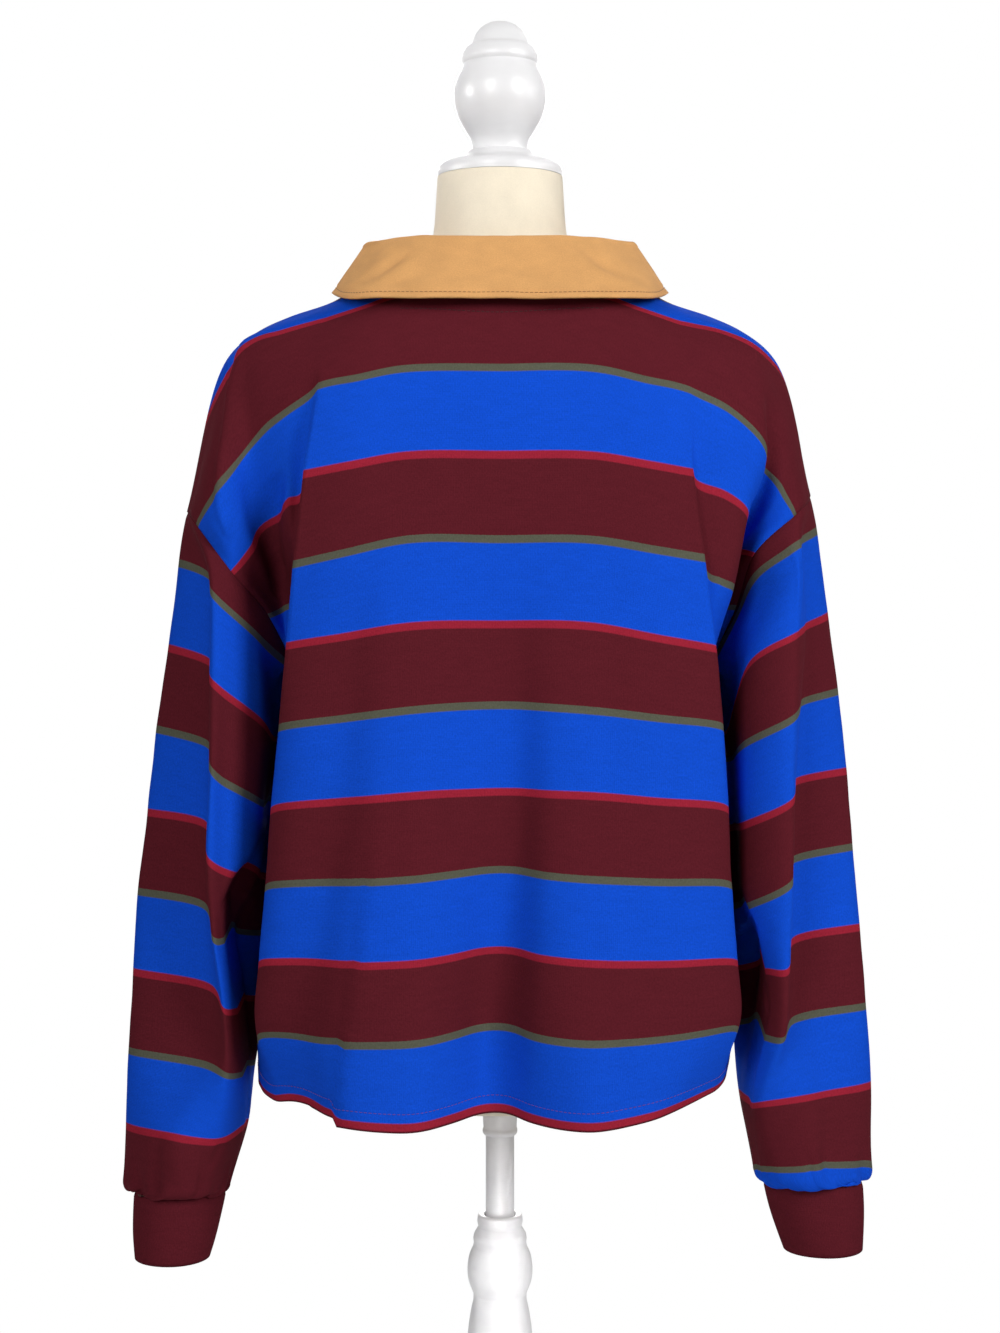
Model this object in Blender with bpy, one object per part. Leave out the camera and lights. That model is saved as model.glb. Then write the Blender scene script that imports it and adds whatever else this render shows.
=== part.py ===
"""A rugby shirt worn by a limbless dress form on a turned stand.

Metres, +Z up. The origin is the middle of the stand's underside, and the shirt's front faces -Y, so
the wearer's left is +X. The tables hold millimetres, and MM turns them into metres.

The shirt's panels and sleeves are grids of points. A row of a grid is a course of the striped cloth,
and a track is a line that runs down the garment: centre, mid, crest, crease, slope, hollow, arm and
edge on a panel. Each table row gives where one course crosses each track.
"""

import math

import bmesh
import bpy
import numpy as np

# Driving dimensions of the cloth
MM = 0.001
WALL = 0.0015  # thickness of the jersey
COLLAR_WALL = 0.0020  # thickness of the two plies of twill
SEAM_GAP = 0.0003  # gap between two pieces at a seam
SEAM_SHARE = 0.8  # each piece's share of it, with some room for the facets of a curved seam
LAID_ON = 0.0008  # stand-off of a piece laid on a panel

# The courses of the body, from the seam at its top to the hem. Every second one is an olive line.
COURSES = ("seam", "yoke", "O1", "R1", "O2", "R2", "O3", "R3", "O4", "R4", "O5", "hem")
PIT = COURSES.index("R2")  # the course at the armpit, where the armhole ends

# Height and depth of the back at its centre and mid tracks, from the yoke down, in mm.
MID_X, MID_X_AT_SEAM = 75, 70
BACK_ROWS = (
    # course, centre z, centre y, mid z, mid y left, mid y right
    ("seam", 1404, 75, 1407, 50, 50),
    ("yoke", 1383, 89, 1382, 85, 85),
    ("O1", 1330, 108, 1329, 106, 106),
    ("R1", 1265, 114, 1264, 113, 113),
    ("O2", 1202, 114, 1201, 115, 115),
    ("R2", 1138, 112, 1136, 115, 115),
    ("O3", 1077, 110, 1073, 115, 115),
    ("R3", 1011, 107, 1009, 117, 115),
    ("O4", 951, 103, 946, 119, 117),
    ("R4", 888, 98, 883, 123, 121),
    ("O5", 828, 92, 823, 127, 125),
    ("hem", 758, 86, 754, 131, 127),
)
FRONT_ROWS = (
    ("seam", 1352, -98, 1394, -53, -53),
    ("yoke", 1338, -107, 1360, -92, -92),
    ("O1", 1316, -116, 1316, -113, -113),
    ("R1", 1254, -126, 1254, -123, -123),
    ("O2", 1191, -130, 1191, -128, -128),
    ("R2", 1129, -127, 1129, -127, -127),
    ("O3", 1068, -122, 1067, -125, -125),
    ("R3", 1005, -117, 1003, -124, -123),
    ("O4", 943, -112, 940, -124, -122),
    ("R4", 880, -107, 876, -126, -123),
    ("O5", 818, -103, 814, -129, -126),
    ("hem", 750, -101, 750, -132, -128),
)

# Sides of the back, in mm: how far the crest stands out of the line from mid to crease, then x, y and
# z of the crease, slope, hollow, arm and edge tracks. The edge is the armhole, then the side seam.
LEFT_SIDE = (
    # course, crest, crease, slope, hollow, arm, edge
    ("seam", 0, (137, 0, 1387), (167, 0, 1377), (191, 0, 1366), (217, 0, 1344), (250, 0, 1222)),
    ("yoke", 3, (140, 62, 1366), (168, 57, 1356), (190, 48, 1348), (214, 31, 1324), (246, 22, 1219)),
    ("O1", 3, (137, 96, 1317), (162, 84, 1299), (184, 73, 1283), (214, 76, 1243), (237, 50, 1211)),
    ("R1", 4, (148, 103, 1251), (163, 78, 1230), (180, 56, 1212), (194, 62, 1192), (207, 66, 1175)),
    ("O2", 5, (156, 100, 1183), (159, 60, 1167), (163, 24, 1153), (172, 10, 1147), (182, 31, 1141)),
    ("R2", 6, (162, 95, 1121), (164, 70, 1114), (166, 45, 1108), (168, 20, 1102), (170, -4, 1099)),
    ("O3", 8, (168, 90, 1060), (170, 64, 1057), (172, 42, 1053), (174, 18, 1049), (176, -6, 1045)),
    ("R3", 9, (175, 86, 998), (176, 62, 995), (178, 40, 992), (180, 16, 989), (182, -8, 986)),
    ("O4", 10, (181, 84, 938), (182, 60, 935), (184, 38, 932), (186, 14, 930), (188, -10, 928)),
    ("R4", 11, (186, 82, 878), (187, 58, 875), (189, 36, 872), (191, 12, 870), (193, -12, 868)),
    ("O5", 12, (189, 76, 818), (191, 54, 815), (193, 32, 812), (195, 8, 811), (197, -14, 810)),
    ("hem", 22, (164, 64, 759), (177, 45, 757), (187, 24, 757), (194, 2, 759), (197, -20, 764)),
)
RIGHT_SIDE = (
    ("seam", 0, (137, 0, 1387), (167, 0, 1377), (191, 0, 1366), (218, 0, 1344), (248, 0, 1235)),
    ("yoke", 3, (142, 62, 1365), (172, 58, 1355), (197, 50, 1346), (220, 30, 1320), (243, 28, 1228)),
    ("O1", 3, (143, 98, 1314), (172, 90, 1301), (197, 84, 1280), (212, 64, 1252), (230, 56, 1219)),
    ("R1", 4, (145, 104, 1252), (170, 92, 1236), (189, 80, 1222), (184, 36, 1201), (197, 54, 1189)),
    ("O2", 5, (154, 101, 1188), (168, 88, 1170), (179, 76, 1165), (174, 26, 1153), (187, 18, 1147)),
    ("R2", 6, (164, 96, 1119), (165, 74, 1114), (167, 46, 1108), (169, 20, 1102), (171, -4, 1097)),
    ("O3", 8, (170, 92, 1061), (171, 68, 1057), (173, 42, 1053), (175, 18, 1049), (177, -6, 1045)),
    ("R3", 9, (174, 88, 999), (175, 64, 995), (177, 40, 992), (179, 16, 989), (181, -8, 986)),
    ("O4", 10, (177, 85, 940), (178, 62, 937), (181, 38, 934), (183, 13, 931), (184, -10, 928)),
    ("R4", 11, (181, 83, 879), (183, 60, 876), (185, 36, 874), (187, 11, 871), (188, -12, 868)),
    ("O5", 12, (184, 80, 826), (185, 58, 821), (187, 34, 817), (189, 10, 813), (191, -14, 811)),
    ("hem", 20, (160, 68, 767), (169, 50, 767), (176, 28, 767), (181, 6, 768), (185, -16, 770)),
)
FRONT_DEPTH = 1.09  # the front's creases stand this much deeper than the back's
NECK_POINT = (94, 0, 1408)  # where the shoulder seam meets the neck
CREST_AT = 0.5  # the crest's place between mid and crease

# Width of cloth from the centre to each track, in mm, and the grid steps up to that track.
TRACK_AT = (0, 75, 115, 155, 180, 203, 234, 300)
TRACK_STEPS = (4, 1, 2, 2, 1, 2, 3)
ROW_STEPS = 2  # grid steps from one course to the next

# The sleeves, in mm: x, y and z of each track at each course, from the outer side round the back
# (notch, ridge, inner), the armpit side (dent, under) and the front (fore, side).
LEFT_SLEEVE = (
    # outer, notch, ridge, inner, then dent, under, fore, side
    ((256, 0, 1183), (227, 43, 1171), (220, 76, 1161), (190, 50, 1122),
     (180, 8, 1080), (176, -24, 1080), (206, -74, 1140), (233, -46, 1172)),
    ((266, 0, 1116), (227, 42, 1105), (220, 78, 1092), (187, 44, 1060),
     (181, 0, 1042), (179, -34, 1042), (212, -80, 1080), (238, -48, 1102)),
    ((275, 0, 1051), (229, 42, 1040), (222, 78, 1025), (190, 42, 998),
     (188, -4, 990), (187, -38, 988), (217, -82, 1020), (242, -48, 1038)),
    ((283, 0, 984), (231, 40, 976), (225, 76, 955), (196, 40, 934),
     (194, -4, 928), (190, -42, 926), (221, -82, 955), (248, -48, 974)),
    ((291, 0, 920), (232, 38, 912), (223, 68, 893), (214, 44, 888),
     (211, -2, 882), (193, -46, 878), (224, -80, 890), (252, -48, 908)),
    ((296, 0, 855), (228, 38, 848), (217, 58, 835), (207, 38, 830),
     (208, -6, 826), (195, -46, 824), (226, -78, 836), (257, -46, 846)),
    ((300, 0, 791), (232, 42, 788), (215, 54, 782), (205, 30, 777),
     (204, -8, 773), (203, -42, 772), (232, -72, 780), (263, -44, 786)),
    ((303, 0, 730), (257, 50, 733), (224, 48, 728), (207, 12, 730),
     (206, -12, 727), (211, -34, 726), (238, -58, 725), (272, -42, 727)),
    ((303, 0, 682), (258, 46, 687), (233, 38, 684), (220, 12, 680),
     (220, -6, 679), (223, -22, 679), (245, -42, 680), (276, -33, 681)),
)
RIGHT_SLEEVE = (
    ((251, 0, 1207), (236, 44, 1195), (228, 72, 1181), (198, 54, 1143),
     (182, 10, 1082), (178, -26, 1082), (206, -74, 1150), (231, -46, 1188)),
    ((261, 0, 1142), (241, 44, 1134), (227, 76, 1128), (192, 62, 1104),
     (182, 6, 1048), (180, -34, 1050), (212, -80, 1110), (238, -48, 1132)),
    ((270, 0, 1081), (238, 44, 1074), (226, 78, 1065), (190, 60, 1044),
     (185, 4, 1026), (185, -38, 1024), (216, -82, 1050), (242, -48, 1070)),
    ((278, 0, 1017), (234, 42, 1011), (225, 78, 1000), (191, 60, 981),
     (188, 2, 972), (186, -42, 966), (220, -82, 990), (246, -48, 1006)),
    ((284, 0, 956), (232, 41, 949), (225, 77, 937), (194, 58, 917),
     (192, 0, 908), (188, -44, 903), (222, -80, 926), (250, -48, 944)),
    ((290, 0, 891), (232, 40, 885), (224, 73, 869), (207, 58, 865),
     (210, 2, 852), (190, -46, 846), (224, -78, 862), (254, -46, 880)),
    ((295, 0, 827), (232, 40, 823), (222, 66, 813), (206, 50, 812),
     (203, 0, 806), (192, -44, 802), (228, -74, 806), (258, -44, 818)),
    ((300, 0, 763), (242, 48, 763), (210, 48, 758), (199, 28, 752),
     (196, -4, 750), (198, -38, 748), (232, -64, 752), (264, -42, 756)),
    ((300, 0, 690), (252, 47, 697), (220, 40, 695), (208, 12, 690),
     (207, -10, 689), (212, -28, 688), (238, -48, 688), (270, -36, 688)),
)
SLEEVE_TRACKS_AT = (0, 3, 5, 7.5, 10, 12, 15, 17.5)  # grid column of each track, of the 20 round the armhole
END_STEPS = 2  # grid steps of the sleeve's end, where it turns in to the cuff

# The cuffs: middle x, half width and half depth at the seam and at the bottom, with their heights.
CUFFS = {
    # name: (top x, half width, half depth, z), (bottom x, half width, half depth, z)
    "left": ((259, 37, 34, 673), (266, 30, 29, 619)),
    "right": ((253, 40, 34, 681), (262, 32, 29, 626)),
}
CUFF_SIDES = 40
CUFF_WALL = 0.0020

# The collar, in mm: where each section stands along the neck seam from the centre back, as a width of
# cloth, then x, y and z of its fold and edge.
COLLAR = (
    # along, fold, edge
    (0, (0, 65, 1429), (0, 106, 1380)),
    (60, (60, 50, 1431), (78, 103, 1381)),
    (98, (92, 22, 1434), (122, 66, 1385)),
    (115, (103, -4, 1436), (134, 2, 1395)),
    (132, (94, -38, 1430), (129, -56, 1398)),
    (170, (61, -72, 1406), (100, -108, 1347)),
    (211, (20, -94, 1384), (54, -126, 1300)),
)
FOLD_RADIUS = 0.004
FOLD_TURNS = (20, 65, 110, 150)  # degrees of turn over the fold
FALL_PARTS = (0.33, 0.66, 1.0)  # places down the fall

# Placket and buttons on the front
PLACKET_HALF = 0.016
PLACKET_FROM, PLACKET_TO = 0.08, 3.6  # courses that it reaches from and to: the neck seam, and past R1
PLACKET_ROWS = 8
BUTTON_AT = (0.7, 1.9, 3.0)
BUTTON_RADIUS = 0.0065
BUTTON_THICK = 0.0028
BUTTON_SIDES = 16

# Dress form, in mm: height, half width, back depth, front depth
TORSO = (
    (1486, 49.5, 50, 50),
    (1440, 53, 54, 54),
    (1421, 60, 56, 50),
    (1405, 89, 44, 30),
    (1384, 135, 45, 38),
    (1373, 163, 49, 50),
    (1362, 188, 54, 64),
    (1348, 199, 70, 84),
    (1322, 200, 84, 101),
    (1285, 176, 96, 113),
    (1240, 157, 99, 119),
    (1190, 148, 99, 120),
    (1130, 138, 93, 108),
    (1060, 129, 84, 96),
    (990, 136, 84, 92),
    (910, 152, 88, 93),
    (840, 155, 88, 93),
    (785, 146, 82, 88),
    (757, 136, 76, 82),
)
TORSO_SIDES = 28
TORSO_FOOT = (752, 0.96)  # height of its underside, and its share of the last section's size

# Turned pieces: (radius, height) pairs in mm, from the top down
FINIAL = (
    (0, 1608.2), (12.8, 1606.3), (21.7, 1597.5), (24.7, 1591.7), (29.6, 1586.8), (29.6, 1578),
    (26.7, 1575.1), (30.6, 1567.3), (35.6, 1555.5), (36.6, 1545.8), (34.6, 1534), (28.7, 1523.3),
    (22.8, 1514.4), (21.8, 1506.9), (0, 1506.9),
)
NECK_CAP = (
    (0, 1506.6), (29.7, 1506.6), (32.7, 1501.7), (35.6, 1498.8), (46.5, 1496.8), (49.5, 1493.9),
    (49.5, 1486.3), (0, 1486.3),
)
POLE_COLLAR = ((14.4, 751.7), (14.2, 740), (13.2, 719), (11.8, 719), (11.8, 751.7))
POLE = ((0, 751.4), (11.5, 751.4), (11.5, 400), (0, 400))
BORE_RADIUS = 11.9
BORE_BOTTOM = 320
COLUMN = (
    (BORE_RADIUS, 653.8), (17, 653.8), (18, 651), (18.2, 647), (17.2, 643.5), (18.8, 641),
    (21.5, 637), (21.4, 631), (21.2, 628), (24.8, 621), (26.4, 610), (25.4, 601), (22, 593),
    (21.5, 589), (23, 578), (26, 563), (27, 542), (25, 495), (22, 438), (20, 370),
    (19, 300), (19, 230), (23, 222), (25, 214), (23, 206),
    (19, 198), (22, 180), (30, 150), (34, 125), (33, 100), (26, 82), (24, 74), (30, 68), (33, 60),
    (34, 46.3),
)
BASE = (
    (0, 46), (40, 46), (44, 43), (46, 38), (90, 33), (150, 27), (172, 24), (179, 19), (180, 13),
    (178, 4), (174, 0), (0, 0),
)
TURNED_SIDES = 28

# Finishes: colour, roughness and metallic value
FINISHES = {
    "jersey": ((0.10, 0.06, 0.24), 0.85, 0.0),
    "rib": ((0.11, 0.015, 0.02), 0.9, 0.0),
    "twill": ((0.73, 0.38, 0.13), 0.85, 0.0),
    "form_cover": ((0.93, 0.85, 0.68), 0.8, 0.0),
    "painted_wood": ((0.88, 0.88, 0.88), 0.35, 0.0),
    "button": ((0.8, 0.77, 0.7), 0.5, 0.0),
}


def unit(vectors):
    return vectors / np.maximum(np.linalg.norm(vectors, axis=-1, keepdims=True), 1e-12)


def spline(knots, values, at):
    """A smooth curve through the values at the knots, read at the places `at`."""
    knots, values, at = np.asarray(knots, float), np.asarray(values, float), np.asarray(at, float)
    steps = np.diff(knots).reshape((-1,) + (1,) * (values.ndim - 1))
    slopes = np.diff(values, axis=0) / steps
    inner = (slopes[:-1] * steps[1:] + slopes[1:] * steps[:-1]) / (steps[1:] + steps[:-1])
    tangents = np.concatenate([slopes[:1], inner, slopes[-1:]])
    place = np.clip(np.searchsorted(knots, at, side="right") - 1, 0, len(knots) - 2)
    span = steps[place]
    t = (at - knots[place]).reshape(span.shape) / span
    start, end = values[place], values[place + 1]
    out, into = tangents[place] * span, tangents[place + 1] * span
    return (
        (1 + 2 * t) * (1 - t) ** 2 * start
        + t * (1 - t) ** 2 * out
        + t * t * (3 - 2 * t) * end
        + t * t * (t - 1) * into
    )


def stations(knots, steps):
    """The knots with each stretch cut into equal steps."""
    places = [knots[0]]
    for start, end, count in zip(knots[:-1], knots[1:], steps):
        places += [start + (end - start) * i / count for i in range(1, count + 1)]
    return np.array(places)


# ---- panels

def side_tracks(rows, side_rows, sign, front):
    """Points [course, track] of one half of a panel, from the centre out."""
    courses = []
    for index, (middle, side) in enumerate(zip(rows, side_rows)):
        _, centre_z, centre_y, mid_z, mid_left, mid_right = middle
        mid = (MID_X if index else MID_X_AT_SEAM, mid_left if sign > 0 else mid_right, mid_z)
        outer = [np.array(point, float) for point in side[2:]]
        if front:
            # The armhole's front half mirrors its back half; below it both halves share the side seam.
            middle_y = outer[-1][1] if index >= PIT else side_rows[PIT][-1][1] * index / PIT
            for point in outer[:-1]:
                point[1] = 2 * middle_y - FRONT_DEPTH * (point[1] - middle_y) - middle_y
            outer[-1][1] = 2 * middle_y - outer[-1][1]
        crest = np.array(mid, float) * (1 - CREST_AT) + outer[0] * CREST_AT
        crest[1] += -side[1] if front else side[1]
        if index == 0:
            crest = np.array(NECK_POINT, float)
        courses.append([np.array((0, centre_y, centre_z), float), np.array(mid, float), crest, *outer])
    tracks = np.array(courses) * MM
    tracks[..., 0] *= sign
    return tracks


def panel_tracks(front):
    """(places across, points [course, track]) of a whole panel, with the outside facing out."""
    rows = FRONT_ROWS if front else BACK_ROWS
    left = side_tracks(rows, LEFT_SIDE, 1, front)
    right = side_tracks(rows, RIGHT_SIDE, -1, front)
    at = np.array(TRACK_AT, float) * MM
    both = np.concatenate([right[:, :0:-1], left], axis=1)
    places = np.concatenate([-at[:0:-1], at])
    return (-places[::-1], both[:, ::-1]) if front else (places, both)


def panel_point(front, course, across):
    """Points of a panel's outer side at courses and places across, as a grid."""
    places, tracks = panel_tracks(front)
    down = spline(np.arange(len(COURSES)), tracks, course)
    return np.swapaxes(spline(places, np.swapaxes(down, 0, 1), across), 0, 1)


def panel_grid(front):
    at = np.array(TRACK_AT, float) * MM
    half = stations(at, TRACK_STEPS)
    across = np.concatenate([-half[:0:-1], half])
    course = stations(np.arange(len(COURSES)), [ROW_STEPS] * (len(COURSES) - 1))
    return panel_point(front, course, across)


# ---- sleeves

def sleeve_grid(table, sign, armhole):
    """Grid of a sleeve from the armhole's loop of points down to the cuff's seam."""
    count = len(armhole)
    knots = [track - count for track in SLEEVE_TRACKS_AT[-2:]]
    knots += list(SLEEVE_TRACKS_AT) + [track + count for track in SLEEVE_TRACKS_AT[:3]]
    rings = [armhole]
    for row in table:
        points = np.array(row, float) * MM * (sign, 1, 1)
        wrapped = np.concatenate([points[-2:], points, points[:3]])
        rings.append(spline(knots, wrapped, np.arange(count)))
    places = np.arange(len(rings))
    grid = spline(places, np.array(rings), stations(places, [ROW_STEPS] * len(table)))
    # The end turns in to the cuff's seam: first down, then across.
    seam = cuff_ring("left" if sign > 0 else "right", 0.0, count)
    turn = math.pi / 2 * np.arange(1, END_STEPS + 1)[:, None, None] / END_STEPS
    shares = np.concatenate([np.repeat(1 - np.cos(turn), 2, axis=2), np.sin(turn)], axis=2)
    return np.concatenate([grid, grid[-1] + (seam - grid[-1]) * shares])


def cuff_ring(name, down, count):
    """Ring of a cuff at `down` from its seam (0) to its bottom (1), from the outer side round the back."""
    top, bottom = (np.array(row, float) * MM for row in CUFFS[name])
    x, half_width, half_depth, z = top + (bottom - top) * down
    turn = 2 * math.pi * np.arange(count) / count
    ring = np.stack([x + half_width * np.cos(turn), half_depth * np.sin(turn), np.full(count, z)], axis=1)
    return ring * ((1 if name == "left" else -1), 1, 1)


# ---- walls

def normals_of(grid, closed):
    """Unit normals, from the columns' direction across the rows' direction down."""
    down = np.gradient(grid, axis=0)
    if closed:
        across = (np.roll(grid, -1, axis=1) - np.roll(grid, 1, axis=1)) / 2
    else:
        across = np.gradient(grid, axis=1)
    return unit(np.cross(across, down))


class Sheet:
    """A grid of outer points and the normals that its wall is thickened against."""

    def __init__(self, grid, closed=False):
        self.grid = grid.copy()
        self.closed = closed
        self.normals = normals_of(grid, closed)
        self.shift = np.zeros_like(self.grid)

    def edge(self, name):
        """(rows, columns) of an edge, and those of the line beside it."""
        rows, columns = self.grid.shape[:2]
        every_row, every_column = np.arange(rows), np.arange(columns)
        return {
            "top": ((0, every_column), (1, every_column)),
            "bottom": ((rows - 1, every_column), (rows - 2, every_column)),
            "first": ((every_row, 0), (every_row, 1)),
            "last": ((every_row, columns - 1), (every_row, columns - 2)),
        }[name]


def part_at_seam(first, first_line, second, second_line):
    """Joins two sheets' edges in one seam, moves them apart along it, and squares their edges to it."""
    seam = (first.grid[first_line[0]] + second.grid[second_line[0]]) / 2
    first.grid[first_line[0]] = second.grid[second_line[0]] = seam
    moves = []
    for sheet, (edge, beside) in ((first, first_line), (second, second_line)):
        inward = unit(sheet.grid[beside] - sheet.grid[edge])
        moves.append((sheet, edge, inward, sheet.normals[edge].copy()))
    (_, _, in_first, out_first), (_, _, in_second, out_second) = moves
    apart = unit(in_first - in_second + out_second - out_first)
    folded = 1 + (in_first * in_second).sum(axis=-1, keepdims=True)  # 0 on flat cloth, 2 folded back
    for (sheet, edge, _, normal), away in zip(moves, (apart, -apart)):
        crossing = np.maximum(0, (normal * away).sum(axis=-1, keepdims=True))
        sheet.normals[edge] = unit(normal - crossing * away)
        sheet.shift[edge] += away * SEAM_GAP * SEAM_SHARE * (1 + folded)


def wall_faces(rows, columns, closed):
    """Triangles of a wall whose outer points come first, each row's columns in order, then the inner ones."""
    inner = rows * columns
    spans = columns if closed else columns - 1
    faces = []
    for row in range(rows - 1):
        for column in range(spans):
            beside = (column + 1) % columns
            a, b = row * columns + column, row * columns + beside
            c, d = a + columns, b + columns
            faces += [(a, c, d), (a, d, b)]
            faces += [(inner + a, inner + d, inner + c), (inner + a, inner + b, inner + d)]
    rims = [[row * columns + column for column in range(columns)] for row in (0, rows - 1)]
    for rim, start in zip(rims, (True, False)):
        for column in range(spans):
            a, b = rim[column], rim[(column + 1) % columns]
            if start:
                a, b = b, a
            faces += [(a, b, inner + b), (a, inner + b, inner + a)]
    if not closed:
        for column, start in ((0, True), (columns - 1, False)):
            for row in range(rows - 1):
                a, b = row * columns + column, (row + 1) * columns + column
                if not start:
                    a, b = b, a
                faces += [(a, inner + b, b), (a, inner + a, inner + b)]
    return faces


def add_object(name, points, faces, finish, smooth=60):
    mesh = bpy.data.meshes.new(name)
    mesh.from_pydata([tuple(point) for point in points], [], faces)
    work = bmesh.new()
    work.from_mesh(mesh)
    bmesh.ops.recalc_face_normals(work, faces=work.faces)
    work.to_mesh(mesh)
    work.free()
    mesh.shade_smooth()
    mesh.set_sharp_from_angle(angle=math.radians(smooth))
    mesh.materials.append(finish_material(finish))
    obj = bpy.data.objects.new(name, mesh)
    bpy.context.scene.collection.objects.link(obj)
    return obj


def finish_material(name):
    if name in bpy.data.materials:
        return bpy.data.materials[name]
    colour, roughness, metallic = FINISHES[name]
    material = bpy.data.materials.new(name)
    material.use_nodes = True
    shader = material.node_tree.nodes["Principled BSDF"]
    shader.inputs["Base Color"].default_value = (*colour, 1)
    shader.inputs["Roughness"].default_value = roughness
    shader.inputs["Metallic"].default_value = metallic
    material.diffuse_color = (*colour, 1)
    return material


def add_wall(name, sheet, thickness, finish):
    outer = sheet.grid + sheet.shift
    inner = outer - sheet.normals * thickness
    rows, columns = outer.shape[:2]
    points = np.concatenate([outer.reshape(-1, 3), inner.reshape(-1, 3)])
    return add_object(name, points, wall_faces(rows, columns, sheet.closed), finish)


# ---- shirt

def armhole_rows():
    return np.arange(PIT * ROW_STEPS + 1)


def build_body_and_sleeves():
    back, front = Sheet(panel_grid(False)), Sheet(panel_grid(True))
    rows = armhole_rows()
    below = np.arange(rows[-1], back.grid.shape[0])
    last = back.grid.shape[1] - 1
    neck_columns = sum(TRACK_STEPS[:2])  # grid steps from the centre to the neck point
    middle = last // 2
    # The back's columns run to the wearer's left and the front's to the right.
    for side, sign, table in (("left", 1, LEFT_SLEEVE), ("right", -1, RIGHT_SLEEVE)):
        back_edge, back_beside = (last, last - 1) if sign > 0 else (0, 1)
        front_edge, front_beside = (0, 1) if sign > 0 else (last, last - 1)
        back_line = back.grid[rows, back_edge]
        front_line = front.grid[rows[1:-1], front_edge]
        armhole = np.concatenate([back_line, front_line[::-1]])
        loop = sleeve_grid(table, sign, armhole)
        if sign > 0:  # turned so that its outside faces out
            loop = np.concatenate([loop[:, :1], loop[:, :0:-1]], axis=1)
        sleeve = Sheet(loop, closed=True)
        count = len(armhole)
        back_columns = (count - rows) % count if sign > 0 else rows
        front_columns = rows if sign > 0 else (count - rows) % count
        part_at_seam(
            back, ((rows, back_edge), (rows, back_beside)),
            sleeve, ((0, back_columns), (1, back_columns)),
        )
        part_at_seam(
            front, ((rows[1:-1], front_edge), (rows[1:-1], front_beside)),
            sleeve, ((0, front_columns[1:-1]), (1, front_columns[1:-1])),
        )
        for ends in (rows[0], rows[-1]):
            front_corner = (ends, front_edge)
            front.shift[front_corner] += back.shift[ends, back_edge]
            front.normals[front_corner] = back.normals[ends, back_edge]
        part_at_seam(
            back, ((below, back_edge), (below, back_beside)),
            front, ((below, front_edge), (below, front_beside)),
        )
        # The shoulder seam, from the neck point out
        reach = np.arange(neck_columns, middle + 1)
        back_top = middle + sign * reach
        front_top = middle - sign * reach
        part_at_seam(
            back, ((0, back_top), (1, back_top)),
            front, ((0, front_top), (1, front_top)),
        )
        flat_bottom(sleeve)
        add_wall(f"sleeve_{side}", sleeve, WALL, "jersey")
    add_wall("back_panel", back, WALL, "jersey")
    add_wall("front_panel", front, WALL, "jersey")


def flat_bottom(sheet):
    """Squares a sheet's last row to the flat seam under it, and lifts it clear of that seam."""
    level = sheet.normals[-1] * (1, 1, 0)
    size = np.linalg.norm(level, axis=-1, keepdims=True)
    sheet.normals[-1] = level / size / np.maximum(size, 0.5)  # longer where the cloth slopes, as in a mitre
    sheet.shift[-1] += (0, 0, SEAM_GAP)


def build_cuff(name):
    grid = np.array([cuff_ring(name, down, CUFF_SIDES) for down in (0.0, 1.0)])
    if name == "left":  # turned so that its outside faces out
        grid = np.concatenate([grid[:, :1], grid[:, :0:-1]], axis=1)
    sheet = Sheet(grid, closed=True)
    sheet.normals = unit(sheet.normals * (1, 1, 0))
    add_wall(f"cuff_{name}", sheet, CUFF_WALL, "rib")


def collar_section(neck, fold, edge):
    """Points of the collar's outer side: up the stand, over the fold and down the fall."""
    up, fall = unit(fold - neck), unit(edge - fold)
    lean = unit(fall - up * (fall @ up))
    centre = fold - up * FOLD_RADIUS
    points = [neck, (neck + fold) / 2]
    for turn in FOLD_TURNS:
        angle = math.radians(turn)
        points.append(centre + FOLD_RADIUS * (lean * (1 - math.cos(angle)) + up * math.sin(angle)))
    start = points[-1]
    points += [start + (edge - start) * part for part in FALL_PARTS]
    return np.array(points)


def neck_seam():
    """(places along, points) of the panels' neck seam, from the right of the placket round to its left."""
    neck_at = TRACK_AT[2]
    columns = stations(np.array(TRACK_AT, float), TRACK_STEPS)
    columns = columns[columns <= neck_at]
    back = panel_point(False, np.zeros(1), columns * MM)[0]
    front = panel_point(True, np.zeros(1), -columns[1:-1] * MM)[0]
    half = np.concatenate([back, front[::-1]])
    along = np.concatenate([columns, 2 * neck_at - columns[-2:0:-1]])
    mirrored = half[:0:-1] * (-1, 1, 1)
    return np.concatenate([-along[:0:-1], along]), np.concatenate([mirrored, half])


def build_collar():
    """The collar's grid runs from the neck seam up the stand, where its outer side faces the neck."""
    along, neck = neck_seam()
    knots = np.array([row[0] for row in COLLAR], float)
    rows = np.array([row[1:] for row in COLLAR], float) * MM
    knots = np.concatenate([-knots[:0:-1], knots])
    rows = np.concatenate([rows[:0:-1] * (-1, 1, 1), rows])
    sections = [collar_section(*row) for row in zip(neck, *np.swapaxes(spline(knots, rows, along), 0, 1))]
    sheet = Sheet(np.swapaxes(np.array(sections), 0, 1))
    sheet.grid[0] += unit(sheet.grid[1] - sheet.grid[0]) * 2 * SEAM_GAP
    add_wall("collar", sheet, COLLAR_WALL, "twill")


def build_placket():
    course = np.linspace(PLACKET_FROM, PLACKET_TO, PLACKET_ROWS)
    across = np.array((-PLACKET_HALF, 0, PLACKET_HALF))
    sheet = Sheet(panel_point(True, course, across))
    sheet.grid += sheet.normals * (WALL + LAID_ON)
    add_wall("placket", sheet, WALL, "twill")
    return sheet


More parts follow.
